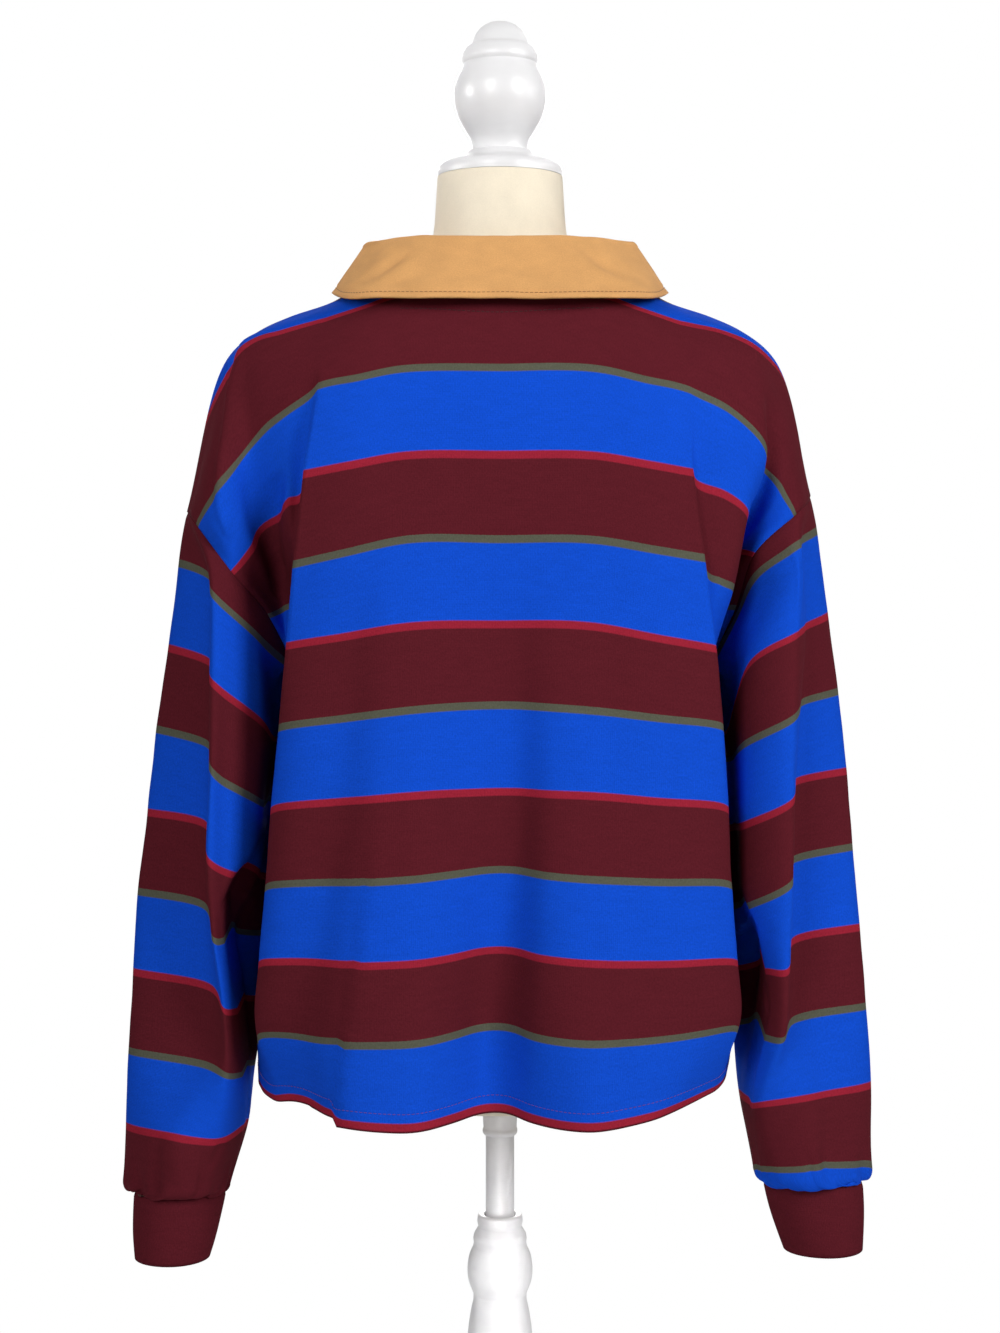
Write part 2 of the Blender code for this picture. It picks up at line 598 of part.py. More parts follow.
def build_button(index, course):
    """A low round button lying on the placket."""
    patch = Sheet(panel_point(True, course + np.array((-0.02, 0, 0.02)), np.array((-0.004, 0, 0.004))))
    out = patch.normals[1, 1]
    base = patch.grid[1, 1] + out * (WALL + LAID_ON + SEAM_GAP)
    side = unit(np.cross(out, (0, 0, 1)))
    up = np.cross(side, out)
    profile = ((BUTTON_RADIUS, 0), (BUTTON_RADIUS, BUTTON_THICK * 0.7), (BUTTON_RADIUS * 0.85, BUTTON_THICK))
    sides, points = BUTTON_SIDES, []
    for radius, height in profile:
        for step in range(sides):
            turn = 2 * math.pi * step / sides
            points.append(base + out * height + (side * math.cos(turn) + up * math.sin(turn)) * radius)
    faces = [tuple(range(sides))[::-1], tuple(range(2 * sides, 3 * sides))]
    for ring in range(2):
        for step in range(sides):
            a, b = ring * sides + step, ring * sides + (step + 1) % sides
            faces.append((a, b, b + sides, a + sides))
    add_object(f"button_{index}", points, faces, "button", 40)


# ---- dress form and stand

def turned(name, profile, finish, closed_profile=False):
    """A turned piece. A profile that starts and ends on the axis is solid, and a closed one is a ring."""
    rings, points, faces = [], [], []
    sides = TURNED_SIDES
    for radius, z in profile:
        if radius == 0:
            points.append((0, 0, z * MM))
            rings.append([len(points) - 1])
            continue
        rings.append([])
        for step in range(sides):
            turn = 2 * math.pi * (step + 0.5) / sides
            points.append((radius * MM * math.cos(turn), radius * MM * math.sin(turn), z * MM))
            rings[-1].append(len(points) - 1)
    pairs = list(zip(rings[:-1], rings[1:]))
    if closed_profile:
        pairs.append((rings[-1], rings[0]))
    for upper, lower in pairs:
        for step in range(sides):
            beside = (step + 1) % sides
            if len(upper) == 1:
                faces.append((upper[0], lower[step], lower[beside]))
            elif len(lower) == 1:
                faces.append((upper[step], lower[0], upper[beside]))
            else:
                faces.append((upper[step], lower[step], lower[beside], upper[beside]))
    return add_object(name, points, faces, finish, 35)


def build_torso():
    points, faces = [], []
    rows = np.array(TORSO, float) * MM
    foot, share = TORSO_FOOT
    for z, half_width, back, front in rows:
        for step in range(TORSO_SIDES):
            turn = 2 * math.pi * (step + 0.5) / TORSO_SIDES
            depth = back if math.sin(turn) > 0 else front
            points.append((half_width * math.cos(turn), depth * math.sin(turn), z))
    for step in range(TORSO_SIDES):
        x, y, _ = points[(len(rows) - 1) * TORSO_SIDES + step]
        points.append((x * share, y * share, foot * MM))
    levels = len(rows) + 1
    for level in range(levels - 1):
        for step in range(TORSO_SIDES):
            a = level * TORSO_SIDES + step
            b = level * TORSO_SIDES + (step + 1) % TORSO_SIDES
            faces.append((a, a + TORSO_SIDES, b + TORSO_SIDES, b))
    faces.append(tuple(range(TORSO_SIDES)))
    faces.append(tuple(range((levels - 1) * TORSO_SIDES, levels * TORSO_SIDES))[::-1])
    add_object("form_torso", points, faces, "form_cover", 50)


def build_stand():
    turned("finial", FINIAL, "painted_wood")
    turned("neck_cap", NECK_CAP, "painted_wood")
    turned("pole_collar", POLE_COLLAR, "painted_wood", closed_profile=True)
    turned("pole", POLE, "painted_wood")
    bored = ((0, BORE_BOTTOM), (BORE_RADIUS, BORE_BOTTOM), *COLUMN, (0, COLUMN[-1][1]))
    turned("stand_column", bored, "painted_wood")
    turned("stand_base", BASE, "painted_wood")


def clear_scene():
    for obj in list(bpy.data.objects):
        bpy.data.objects.remove(obj, do_unlink=True)


def main():
    clear_scene()
    build_body_and_sleeves()
    for name in CUFFS:
        build_cuff(name)
    build_collar()
    build_placket()
    for index, course in enumerate(BUTTON_AT, start=1):
        build_button(index, course)
    build_torso()
    build_stand()


main()
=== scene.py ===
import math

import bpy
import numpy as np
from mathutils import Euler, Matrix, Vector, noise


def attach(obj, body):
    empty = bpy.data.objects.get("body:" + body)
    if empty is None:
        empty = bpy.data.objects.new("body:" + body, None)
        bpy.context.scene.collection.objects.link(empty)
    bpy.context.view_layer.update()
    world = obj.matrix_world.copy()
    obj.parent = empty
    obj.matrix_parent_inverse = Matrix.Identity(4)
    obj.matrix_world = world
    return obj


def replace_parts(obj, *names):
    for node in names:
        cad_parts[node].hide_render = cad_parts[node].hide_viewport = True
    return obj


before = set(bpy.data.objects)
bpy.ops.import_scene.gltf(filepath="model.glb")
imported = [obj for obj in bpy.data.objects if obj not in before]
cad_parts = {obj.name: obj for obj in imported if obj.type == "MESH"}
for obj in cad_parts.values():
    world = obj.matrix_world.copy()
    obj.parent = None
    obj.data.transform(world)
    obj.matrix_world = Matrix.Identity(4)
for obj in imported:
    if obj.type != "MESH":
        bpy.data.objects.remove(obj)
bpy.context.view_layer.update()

# The looks of a striped rugby shirt on a dress form: camera, light, cloth, stitches and stand.
#
# Metres, +Z up. The shirt's front faces -Y, so the wearer's left is +X, and the camera looks at the
# back. The cloth is built from the same courses and tracks as its solids, in more steps: a course is
# a line of the striped cloth that runs across the garment, and a track is a line that runs down it.
# Every cloth point also knows its place on the flat cloth, u across and v down, in metres. v is 0 at
# the top of the uppermost olive line. The stripes, the weave and the folds are all laid out in u and v.

# ---- sizes of the garment: the tables of its solids in mm, as they say, and the rest in metres

MM = 0.001
WALL = 0.0015  # thickness of the jersey
COLLAR_WALL = 0.0020  # thickness of the two plies of twill

# The courses of the body, from the seam at its top to the hem. Every second one is an olive line.
COURSES = ("seam", "yoke", "O1", "R1", "O2", "R2", "O3", "R3", "O4", "R4", "O5", "hem")
PIT = COURSES.index("R2")  # the course at the armpit, where the armhole ends

# Height and depth of the back, and then of the front, at the centre and mid tracks, in mm.
MID_X, MID_X_AT_SEAM = 75, 70
BACK_ROWS = (
    # course, centre z, centre y, mid z, mid y left, mid y right
    ("seam", 1404, 75, 1407, 50, 50),
    ("yoke", 1383, 89, 1382, 85, 85),
    ("O1", 1330, 108, 1329, 106, 106),
    ("R1", 1265, 114, 1264, 113, 113),
    ("O2", 1202, 114, 1201, 115, 115),
    ("R2", 1138, 112, 1136, 115, 115),
    ("O3", 1077, 110, 1073, 115, 115),
    ("R3", 1011, 107, 1009, 117, 115),
    ("O4", 951, 103, 946, 119, 117),
    ("R4", 888, 98, 883, 123, 121),
    ("O5", 828, 92, 823, 127, 125),
    ("hem", 758, 86, 754, 131, 127),
)
FRONT_ROWS = (
    ("seam", 1352, -98, 1394, -53, -53),
    ("yoke", 1338, -107, 1360, -92, -92),
    ("O1", 1316, -116, 1316, -113, -113),
    ("R1", 1254, -126, 1254, -123, -123),
    ("O2", 1191, -130, 1191, -128, -128),
    ("R2", 1129, -127, 1129, -127, -127),
    ("O3", 1068, -122, 1067, -125, -125),
    ("R3", 1005, -117, 1003, -124, -123),
    ("O4", 943, -112, 940, -124, -122),
    ("R4", 880, -107, 876, -126, -123),
    ("O5", 818, -103, 814, -129, -126),
    ("hem", 750, -101, 750, -132, -128),
)

# Sides of the back, in mm: how far the crest stands out of the line from mid to crease, then x, y and
# z of the crease, slope, hollow, arm and edge tracks. The edge is the armhole, then the side seam.
LEFT_SIDE = (
    # course, crest, crease, slope, hollow, arm, edge
    ("seam", 0, (137, 0, 1387), (167, 0, 1377), (191, 0, 1366), (217, 0, 1344), (250, 0, 1222)),
    ("yoke", 3, (140, 62, 1366), (168, 57, 1356), (190, 48, 1348), (214, 31, 1324), (246, 22, 1219)),
    ("O1", 3, (137, 96, 1317), (162, 84, 1299), (184, 73, 1283), (214, 76, 1243), (237, 50, 1211)),
    ("R1", 4, (148, 103, 1251), (163, 78, 1230), (180, 56, 1212), (194, 62, 1192), (207, 66, 1175)),
    ("O2", 5, (156, 100, 1183), (159, 60, 1167), (163, 24, 1153), (172, 10, 1147), (182, 31, 1141)),
    ("R2", 6, (162, 95, 1121), (164, 70, 1114), (166, 45, 1108), (168, 20, 1102), (170, -4, 1099)),
    ("O3", 8, (168, 90, 1060), (170, 64, 1057), (172, 42, 1053), (174, 18, 1049), (176, -6, 1045)),
    ("R3", 9, (175, 86, 998), (176, 62, 995), (178, 40, 992), (180, 16, 989), (182, -8, 986)),
    ("O4", 10, (181, 84, 938), (182, 60, 935), (184, 38, 932), (186, 14, 930), (188, -10, 928)),
    ("R4", 11, (186, 82, 878), (187, 58, 875), (189, 36, 872), (191, 12, 870), (193, -12, 868)),
    ("O5", 12, (189, 76, 818), (191, 54, 815), (193, 32, 812), (195, 8, 811), (197, -14, 810)),
    ("hem", 22, (164, 64, 759), (177, 45, 757), (187, 24, 757), (194, 2, 759), (197, -20, 764)),
)
RIGHT_SIDE = (
    ("seam", 0, (137, 0, 1387), (167, 0, 1377), (191, 0, 1366), (218, 0, 1344), (248, 0, 1235)),
    ("yoke", 3, (142, 62, 1365), (172, 58, 1355), (197, 50, 1346), (220, 30, 1320), (243, 28, 1228)),
    ("O1", 3, (143, 98, 1314), (172, 90, 1301), (197, 84, 1280), (212, 64, 1252), (230, 56, 1219)),
    ("R1", 4, (145, 104, 1252), (170, 92, 1236), (189, 80, 1222), (184, 36, 1201), (197, 54, 1189)),
    ("O2", 5, (154, 101, 1188), (168, 88, 1170), (179, 76, 1165), (174, 26, 1153), (187, 18, 1147)),
    ("R2", 6, (164, 96, 1119), (165, 74, 1114), (167, 46, 1108), (169, 20, 1102), (171, -4, 1097)),
    ("O3", 8, (170, 92, 1061), (171, 68, 1057), (173, 42, 1053), (175, 18, 1049), (177, -6, 1045)),
    ("R3", 9, (174, 88, 999), (175, 64, 995), (177, 40, 992), (179, 16, 989), (181, -8, 986)),
    ("O4", 10, (177, 85, 940), (178, 62, 937), (181, 38, 934), (183, 13, 931), (184, -10, 928)),
    ("R4", 11, (181, 83, 879), (183, 60, 876), (185, 36, 874), (187, 11, 871), (188, -12, 868)),
    ("O5", 12, (184, 80, 826), (185, 58, 821), (187, 34, 817), (189, 10, 813), (191, -14, 811)),
    ("hem", 20, (160, 68, 767), (169, 50, 767), (176, 28, 767), (181, 6, 768), (185, -16, 770)),
)
# Where the back folds sharply along its crease track: how sharply, and the point just past the crease
SHARP = {
    # side: (course, sharpness from 0 to 1, x, y, z) of the tuck track
    "left": (
        ("seam", 0, 143, 0, 1387), ("yoke", 0, 144, 61, 1365), ("O1", 0.6, 140, 92, 1312),
        ("R1", 1, 151, 82, 1237), ("O2", 1, 158, 80, 1171), ("R2", 0.7, 163, 84, 1117),
        ("O3", 0.2, 169, 80, 1059), ("R3", 0, 175, 76, 997), ("O4", 0, 181, 74, 937),
        ("R4", 0, 186, 72, 877), ("O5", 0, 190, 68, 817), ("hem", 0, 168, 56, 758),
    ),
    "right": (
        ("seam", 0, 143, 0, 1387), ("yoke", 0, 148, 61, 1364), ("O1", 0.3, 147, 97, 1311),
        ("R1", 1, 147, 98, 1245), ("O2", 1, 156, 93, 1177), ("R2", 0.6, 164, 88, 1118),
        ("O3", 0.2, 170, 84, 1060), ("R3", 0, 174, 78, 998), ("O4", 0, 177, 76, 939),
        ("R4", 0, 181, 74, 878), ("O5", 0, 184, 70, 824), ("hem", 0, 164, 60, 767),
    ),
}
TUCK_AT = 163  # width of cloth from the centre to the tuck track, in mm
FRONT_DEPTH = 1.09  # the front's creases stand this much deeper than the back's
NECK_POINT = (94, 0, 1408)  # where the shoulder seam meets the neck
CREST_AT = 0.5  # the crest's place between mid and crease

# Width of cloth from the centre to each track, in mm, and the mesh's steps up to that track.
TRACK_AT = (0, 75, 115, 155, 180, 203, 234, 300)
TRACK_STEPS = (19, 10, 12, 10, 7, 9, 18)
ROW_STEPS = 16  # grid steps from one course to the next

# The sleeves, in mm: x, y and z of each track at each course, from the outer side round the back
# (notch, ridge, inner), the armpit side (dent, under) and the front (fore, side).
LEFT_SLEEVE = (
    # outer, notch, ridge, inner, then dent, under, fore, side
    ((256, 0, 1183), (227, 43, 1171), (220, 76, 1161), (190, 50, 1122),
     (180, 8, 1080), (176, -24, 1080), (206, -74, 1140), (233, -46, 1172)),
    ((266, 0, 1116), (227, 42, 1105), (220, 78, 1092), (187, 44, 1060),
     (181, 0, 1042), (179, -34, 1042), (212, -80, 1080), (238, -48, 1102)),
    ((275, 0, 1051), (229, 42, 1040), (222, 78, 1025), (190, 42, 998),
     (188, -4, 990), (187, -38, 988), (217, -82, 1020), (242, -48, 1038)),
    ((283, 0, 984), (231, 40, 976), (225, 76, 955), (196, 40, 934),
     (194, -4, 928), (190, -42, 926), (221, -82, 955), (248, -48, 974)),
    ((291, 0, 920), (232, 38, 912), (223, 68, 893), (214, 44, 888),
     (211, -2, 882), (193, -46, 878), (224, -80, 890), (252, -48, 908)),
    ((296, 0, 855), (228, 38, 848), (217, 58, 835), (207, 38, 830),
     (208, -6, 826), (195, -46, 824), (226, -78, 836), (257, -46, 846)),
    ((300, 0, 791), (232, 42, 788), (215, 54, 782), (205, 30, 777),
     (204, -8, 773), (203, -42, 772), (232, -72, 780), (263, -44, 786)),
    ((303, 0, 730), (257, 50, 733), (224, 48, 728), (207, 12, 730),
     (206, -12, 727), (211, -34, 726), (238, -58, 725), (272, -42, 727)),
    ((303, 0, 682), (258, 46, 687), (233, 38, 684), (220, 12, 680),
     (220, -6, 679), (223, -22, 679), (245, -42, 680), (276, -33, 681)),
)
RIGHT_SLEEVE = (
    ((251, 0, 1207), (236, 44, 1195), (228, 72, 1181), (198, 54, 1143),
     (182, 10, 1082), (178, -26, 1082), (206, -74, 1150), (231, -46, 1188)),
    ((261, 0, 1142), (241, 44, 1134), (227, 76, 1128), (192, 62, 1104),
     (182, 6, 1048), (180, -34, 1050), (212, -80, 1110), (238, -48, 1132)),
    ((270, 0, 1081), (238, 44, 1074), (226, 78, 1065), (190, 60, 1044),
     (185, 4, 1026), (185, -38, 1024), (216, -82, 1050), (242, -48, 1070)),
    ((278, 0, 1017), (234, 42, 1011), (225, 78, 1000), (191, 60, 981),
     (188, 2, 972), (186, -42, 966), (220, -82, 990), (246, -48, 1006)),
    ((284, 0, 956), (232, 41, 949), (225, 77, 937), (194, 58, 917),
     (192, 0, 908), (188, -44, 903), (222, -80, 926), (250, -48, 944)),
    ((290, 0, 891), (232, 40, 885), (224, 73, 869), (207, 58, 865),
     (210, 2, 852), (190, -46, 846), (224, -78, 862), (254, -46, 880)),
    ((295, 0, 827), (232, 40, 823), (222, 66, 813), (206, 50, 812),
     (203, 0, 806), (192, -44, 802), (228, -74, 806), (258, -44, 818)),
    ((300, 0, 763), (242, 48, 763), (210, 48, 758), (199, 28, 752),
     (196, -4, 750), (198, -38, 748), (232, -64, 752), (264, -42, 756)),
    ((300, 0, 690), (252, 47, 697), (220, 40, 695), (208, 12, 690),
     (207, -10, 689), (212, -28, 688), (238, -48, 688), (270, -36, 688)),
)
SLEEVE_TRACKS_AT = (0, 3, 5, 7.5, 10, 12, 15, 17.5)  # grid column of each track, of the 20 round the armhole
END_STEPS = 10  # grid steps of the sleeve's end, where it turns in to the cuff
END_V = {"left": 0.508, "right": 0.526}  # v of the cuff's seam
# How far the cloth's lines are drawn up in the last course of a sleeve: (u in mm, share of its length)
END_PULL = {
    "left": ((0, 1.0), (400, 1.0)),
    "right": ((0, 0.96), (50, 1.12), (110, 1.15), (160, 1.12), (220, 1.0), (400, 0.96)),
}

# The cuffs, in mm: middle x, half width and half depth at the seam and at the bottom, and their heights.
CUFFS = {
    # name: (top x, half width, half depth, z), (bottom x, half width, half depth, z)
    "left": ((259, 37, 34, 673), (266, 30, 29, 619)),
    "right": ((253, 40, 34, 681), (262, 32, 29, 626)),
}
CUFF_SIDES = 208
CUFF_WALL = 0.0020
CUFF_ROUND = 0.21  # nominal width of a cuff's cloth, for its u

# The collar, in mm: where each section stands along the neck seam from the centre back, as a width of
# cloth, then x, y and z of its fold and edge.
COLLAR = (
    # along, fold, edge
    (0, (0, 65, 1429), (0, 106, 1380)),
    (60, (60, 50, 1431), (78, 103, 1381)),
    (98, (92, 22, 1434), (122, 66, 1385)),
    (115, (103, -4, 1436), (134, 2, 1395)),
    (132, (94, -38, 1430), (129, -56, 1398)),
    (170, (61, -72, 1406), (100, -108, 1347)),
    (211, (20, -94, 1384), (54, -126, 1300)),
)
FOLD_RADIUS = 0.004
COLLAR_WAVES = ((0.0009, 0.035), (0.0004, 0.014))  # height and size of its broad and fine lumps
COLLAR_STILL = 0.03  # up to here from the neck seam the broad ones are smaller
COLLAR_STITCH = 0.0055  # height of its stitches above its edge
COLLAR_PRESS = (0.0010, 0.0011)  # depth and half width of the line that they press in

# Placket and buttons on the front
PLACKET_HALF = 0.016
PLACKET_FROM, PLACKET_TO = 0.08, 3.6  # courses that it reaches from and to: the neck seam, and past R1
BUTTON_AT = (0.7, 1.9, 3.0)
BUTTON_RADIUS = 0.0065
BUTTON_THICK = 0.0028
BUTTON_GAP = 0.0003  # between a button and the placket
BUTTON_SIDES = 40
PLACKET_GAP = 0.0006  # between the placket and the front
PLACKET_GROOVE = (0.0004, 0.003, 0.0012)  # depth of its stitched line, place from its side, half width
BUTTON_BAR = 0.0018  # half the length of a bar of thread
BAR_STITCH = (0.0034, 0.01, 0.0004)  # length, pitch and radius of its one stitch

# Dress form, in mm: height, half width, back depth, front depth
TORSO = (
    (1486, 49.5, 50, 50),
    (1440, 53, 54, 54),
    (1421, 60, 56, 50),
    (1405, 89, 44, 30),
    (1384, 135, 45, 38),
    (1373, 163, 49, 50),
    (1362, 188, 54, 64),
    (1348, 199, 70, 84),
    (1322, 200, 84, 101),
    (1285, 176, 96, 113),
    (1240, 157, 99, 119),
    (1190, 148, 99, 120),
    (1130, 138, 93, 108),
    (1060, 129, 84, 96),
    (990, 136, 84, 92),
    (910, 152, 88, 93),
    (840, 155, 88, 93),
    (785, 146, 82, 88),
    (757, 136, 76, 82),
)
FORM_SIDES = 112
TORSO_FOOT = 752  # height of its underside, in mm
TORSO_FOOT_ROUND = ((0.995, 0.35), (0.98, 0.75), (0.96, 1.0))  # share of its size, and of the way down there

# ---- the striped cloth, in metres

REPEAT = 0.127  # of the stripes: olive line, blue band, red line, maroon band
COURSE = REPEAT / 2  # from one named course to the next
LINE = 0.006  # width of the olive and red lines
SLEEVE_COLUMNS = 20  # the columns that SLEEVE_TRACKS_AT counts in
SLEEVE_ROUND = 0.40  # nominal width of a sleeve's cloth, for its u
SHOULDER_EASE = 0.62  # the outer shoulder's stripes above O1 are this much closer than its length says
SLEEVE_EASE = 0.93  # and so are those of a sleeve above R1
HEM_V = 0.579  # v of the hem's edge
SIDE_DROOP = 0.0065  # the stripes of the panels hang lower by their side seams
DROOP_V, DROOP_U = (0.20, 0.12), (0.125, 0.05)  # start and length of where that grows, down and across
HEM_DEPTH = 0.015  # of the turned hem
HEM_PLY, HEM_STEP = 0.0006, 0.0008  # how far its second ply stands out, and how softly that ends
HEM_STITCH = 0.0142  # height of its stitches above the edge
HEM_PRESS = (0.0005, 0.0014)  # depth and half width of the line that they press in

# Colours of the photo's cloth and form, as sRGB
BLUE, MAROON, RED, OLIVE = (16, 75, 200), (88, 27, 36), (149, 34, 52), (86, 87, 74)
TAN, CREAM, WHITE, THREAD = (215, 161, 102), (234, 223, 201), (222, 221, 222), (100, 50, 140)

# ---- camera and light

EYE = (0, 1.8, 1.187)
PITCH = math.radians(2.83)  # downwards
LENS, SENSOR = 60.76, 36


def unit(vectors):
    return vectors / np.maximum(np.linalg.norm(vectors, axis=-1, keepdims=True), 1e-12)


def turns(sides, start=0.0):
    """Angles of equal steps once round."""
    return 2 * math.pi * (np.arange(sides) + start) / sides


def bell(away, reach):
    """1 where the distance is none, fading to 0 past the reach."""
    return np.exp(-((away / reach) ** 2))


def run_along(points, axis=0):
    """Length of the way along an axis to each point."""
    steps = np.linalg.norm(np.diff(points, axis=axis), axis=-1)
    start = np.zeros_like(steps.take([0], axis=axis))
    return np.concatenate([start, np.cumsum(steps, axis=axis)], axis=axis)


def spline(knots, values, at):
    """A smooth curve through the values at the knots, read at the places `at`."""
    knots, values, at = np.asarray(knots, float), np.asarray(values, float), np.asarray(at, float)
    steps = np.diff(knots).reshape((-1,) + (1,) * (values.ndim - 1))
    slopes = np.diff(values, axis=0) / steps
    inner = (slopes[:-1] * steps[1:] + slopes[1:] * steps[:-1]) / (steps[1:] + steps[:-1])
    tangents = np.concatenate([slopes[:1], inner, slopes[-1:]])
    place = np.clip(np.searchsorted(knots, at, side="right") - 1, 0, len(knots) - 2)
    span = steps[place]
    t = (at - knots[place]).reshape(span.shape) / span
    start, end = values[place], values[place + 1]
    out, into = tangents[place] * span, tangents[place + 1] * span
    return (
        (1 + 2 * t) * (1 - t) ** 2 * start
        + t * (1 - t) ** 2 * out
        + t * t * (3 - 2 * t) * end
        + t * t * (t - 1) * into
    )


def stations(knots, steps):
    """The knots with each stretch cut into equal steps."""
    places = [knots[0]]
    for start, end, count in zip(knots[:-1], knots[1:], steps):
        places += [start + (end - start) * i / count for i in range(1, count + 1)]
    return np.array(places)


# ---- the forms of the solids, in more steps

def side_tracks(rows, side_rows, sign, front):
    """Points [course, track] of one half of a panel, from the centre out."""
    courses = []
    for index, (middle, side) in enumerate(zip(rows, side_rows)):
        _, centre_z, centre_y, mid_z, mid_left, mid_right = middle
        mid = (MID_X if index else MID_X_AT_SEAM, mid_left if sign > 0 else mid_right, mid_z)
        outer = [np.array(point, float) for point in side[2:]]
        if front:
            # The armhole's front half mirrors its back half; below it both halves share the side seam.
            middle_y = outer[-1][1] if index >= PIT else side_rows[PIT][-1][1] * index / PIT
            for point in outer[:-1]:
                point[1] = 2 * middle_y - FRONT_DEPTH * (point[1] - middle_y) - middle_y
            outer[-1][1] = 2 * middle_y - outer[-1][1]
        crest = np.array(mid, float) * (1 - CREST_AT) + outer[0] * CREST_AT
        crest[1] += -side[1] if front else side[1]
        if index == 0:
            crest = np.array(NECK_POINT, float)
        courses.append([np.array((0, centre_y, centre_z), float), np.array(mid, float), crest, *outer])
    tracks = np.array(courses) * MM
    tracks[..., 0] *= sign
    return tracks


def panel_tracks(front):
    """(places across, points [course, track]) of a whole panel, with the outside facing out."""
    rows = FRONT_ROWS if front else BACK_ROWS
    left = side_tracks(rows, LEFT_SIDE, 1, front)
    right = side_tracks(rows, RIGHT_SIDE, -1, front)
    at = np.array(TRACK_AT, float) * MM
    both = np.concatenate([right[:, :0:-1], left], axis=1)
    places = np.concatenate([-at[:0:-1], at])
    return (-places[::-1], both[:, ::-1]) if front else (places, both)


def panel_point(front, course, across):
    """Points of a panel's outer side at courses and places across, as a grid."""
    places, tracks = panel_tracks(front)
    down = spline(np.arange(len(COURSES)), tracks, course)
    grid = np.swapaxes(spline(places, np.swapaxes(down, 0, 1), across), 0, 1)
    return grid if front else creased(grid, places, down, course, across)


def creased(grid, places, down, course, across):
    """The back's grid with its two creases made sharp: each side of a crease is a curve of its own."""
    middle, crease = len(places) // 2, TRACK_AT.index(155)
    edges = (middle - crease, middle + crease)
    sharp = np.array(grid)
    inside = np.abs(across) <= places[edges[1]] + 1e-9
    parts = [(inside, places[edges[0] : edges[1] + 1], down[:, edges[0] : edges[1] + 1])]
    for side, sign in (("left", 1), ("right", -1)):
        rows = np.array([row[1:] for row in SHARP[side]], float)
        rows = spline(np.arange(len(COURSES)), rows, course)
        tuck = rows[:, 1:] * MM * (sign, 1, 1)
        outer = slice(edges[1], None) if sign > 0 else slice(0, edges[0] + 1)
        knots, points = list(places[outer]), list(np.swapaxes(down[:, outer], 0, 1))
        at = 1 if sign > 0 else len(knots) - 1
        knots.insert(at, sign * TUCK_AT * MM)
        points.insert(at, tuck)
        beyond = sign * across > places[edges[1]] + 1e-9
        parts.append((beyond, np.array(knots), np.swapaxes(np.array(points), 0, 1)))
        share = np.clip(rows[:, 0], 0, 1)
        grid_side = sign * across > 0
        shares = share[:, None] * grid_side if sign > 0 else shares + share[:, None] * grid_side
    for columns, knots, points in parts:
        sharp[:, columns] = np.swapaxes(spline(knots, np.swapaxes(points, 0, 1), across[columns]), 0, 1)
    return grid + (sharp - grid) * shares[..., None]


def sleeve_grid(table, sign, armhole):
    """Grid of a sleeve from the armhole's loop of points down to the cuff's seam."""
    count = len(armhole)
    tracks = [track * count / SLEEVE_COLUMNS for track in SLEEVE_TRACKS_AT]
    knots = [track - count for track in tracks[-2:]] + tracks + [track + count for track in tracks[:3]]
    rings = [armhole]
    for row in table:
        points = np.array(row, float) * MM * (sign, 1, 1)
        wrapped = np.concatenate([points[-2:], points, points[:3]])
        rings.append(spline(knots, wrapped, np.arange(count)))
    courses = np.arange(len(rings))
    grid = spline(courses, np.array(rings), stations(courses, [ROW_STEPS] * len(table)))
    # The end turns in to the cuff's seam: first down, then across.
    seam = cuff_ring("left" if sign > 0 else "right", 0.0, count)
    turn = math.pi / 2 * np.arange(1, END_STEPS + 1)[:, None, None] / END_STEPS
    shares = np.concatenate([np.repeat(1 - np.cos(turn), 2, axis=2), np.sin(turn)], axis=2)
    return np.concatenate([grid, grid[-1] + (seam - grid[-1]) * shares])


def cuff_ring(name, down, count):
    """Ring of a cuff at `down` from its seam (0) to its bottom (1), from the outer side round the back."""
    top, bottom = (np.array(row, float) * MM for row in CUFFS[name])
    x, half_width, half_depth, z = top + (bottom - top) * down
    turn = turns(count)
    ring = np.stack([x + half_width * np.cos(turn), half_depth * np.sin(turn), np.full(count, z)], axis=1)
    return ring * ((1 if name == "left" else -1), 1, 1)


def linear(colour):
    """An sRGB colour of 0 to 255 as linear light."""
    parts = np.array(colour, float) / 255
    return tuple(np.where(parts <= 0.04045, parts / 12.92, ((parts + 0.055) / 1.055) ** 2.4)) + (1.0,)


# ---- cloth

def normals_of(grid, closed):
    """Unit normals, from the columns' direction across the rows' direction down."""
    down = np.gradient(grid, axis=0)
    if closed:
        across = (np.roll(grid, -1, axis=1) - np.roll(grid, 1, axis=1)) / 2
    else:
        across = np.gradient(grid, axis=1)
    return unit(np.cross(across, down))


class Cloth:
    """A grid of outer points, each with its place u, v on the flat cloth."""

    def __init__(self, grid, u, v, around=0.0):
        self.grid = grid.copy()
        self.around, self.closed = around, around != 0  # u's change in once round a tube
        self.u = np.broadcast_to(u, grid.shape[:2]).copy()
        self.v = np.broadcast_to(v, grid.shape[:2]).copy()
        self.normals = normals_of(grid, self.closed)
        self.seam = np.zeros(grid.shape[:2], bool)  # where a seam has set the normals
        self.out = np.zeros(grid.shape[:2])  # how far each point moves out along its normal

    def from_column(self, column):
        """Distance of each point from a column, along its row."""
        run = run_along(self.grid, axis=1)
        return np.abs(run - run[:, column][:, None])

    def from_row(self, row):
        """Distance of each point from a row, along its column."""
        run = run_along(self.grid)
        return np.abs(run - run[row])

    def settle(self):
        """Moves the points out, and finds the normals of the moved cloth where no seam has set them."""
        self.grid += self.normals * self.out[..., None]
        moved = normals_of(self.grid, self.closed)
        moved[self.seam] = self.normals[self.seam]
        self.normals = moved


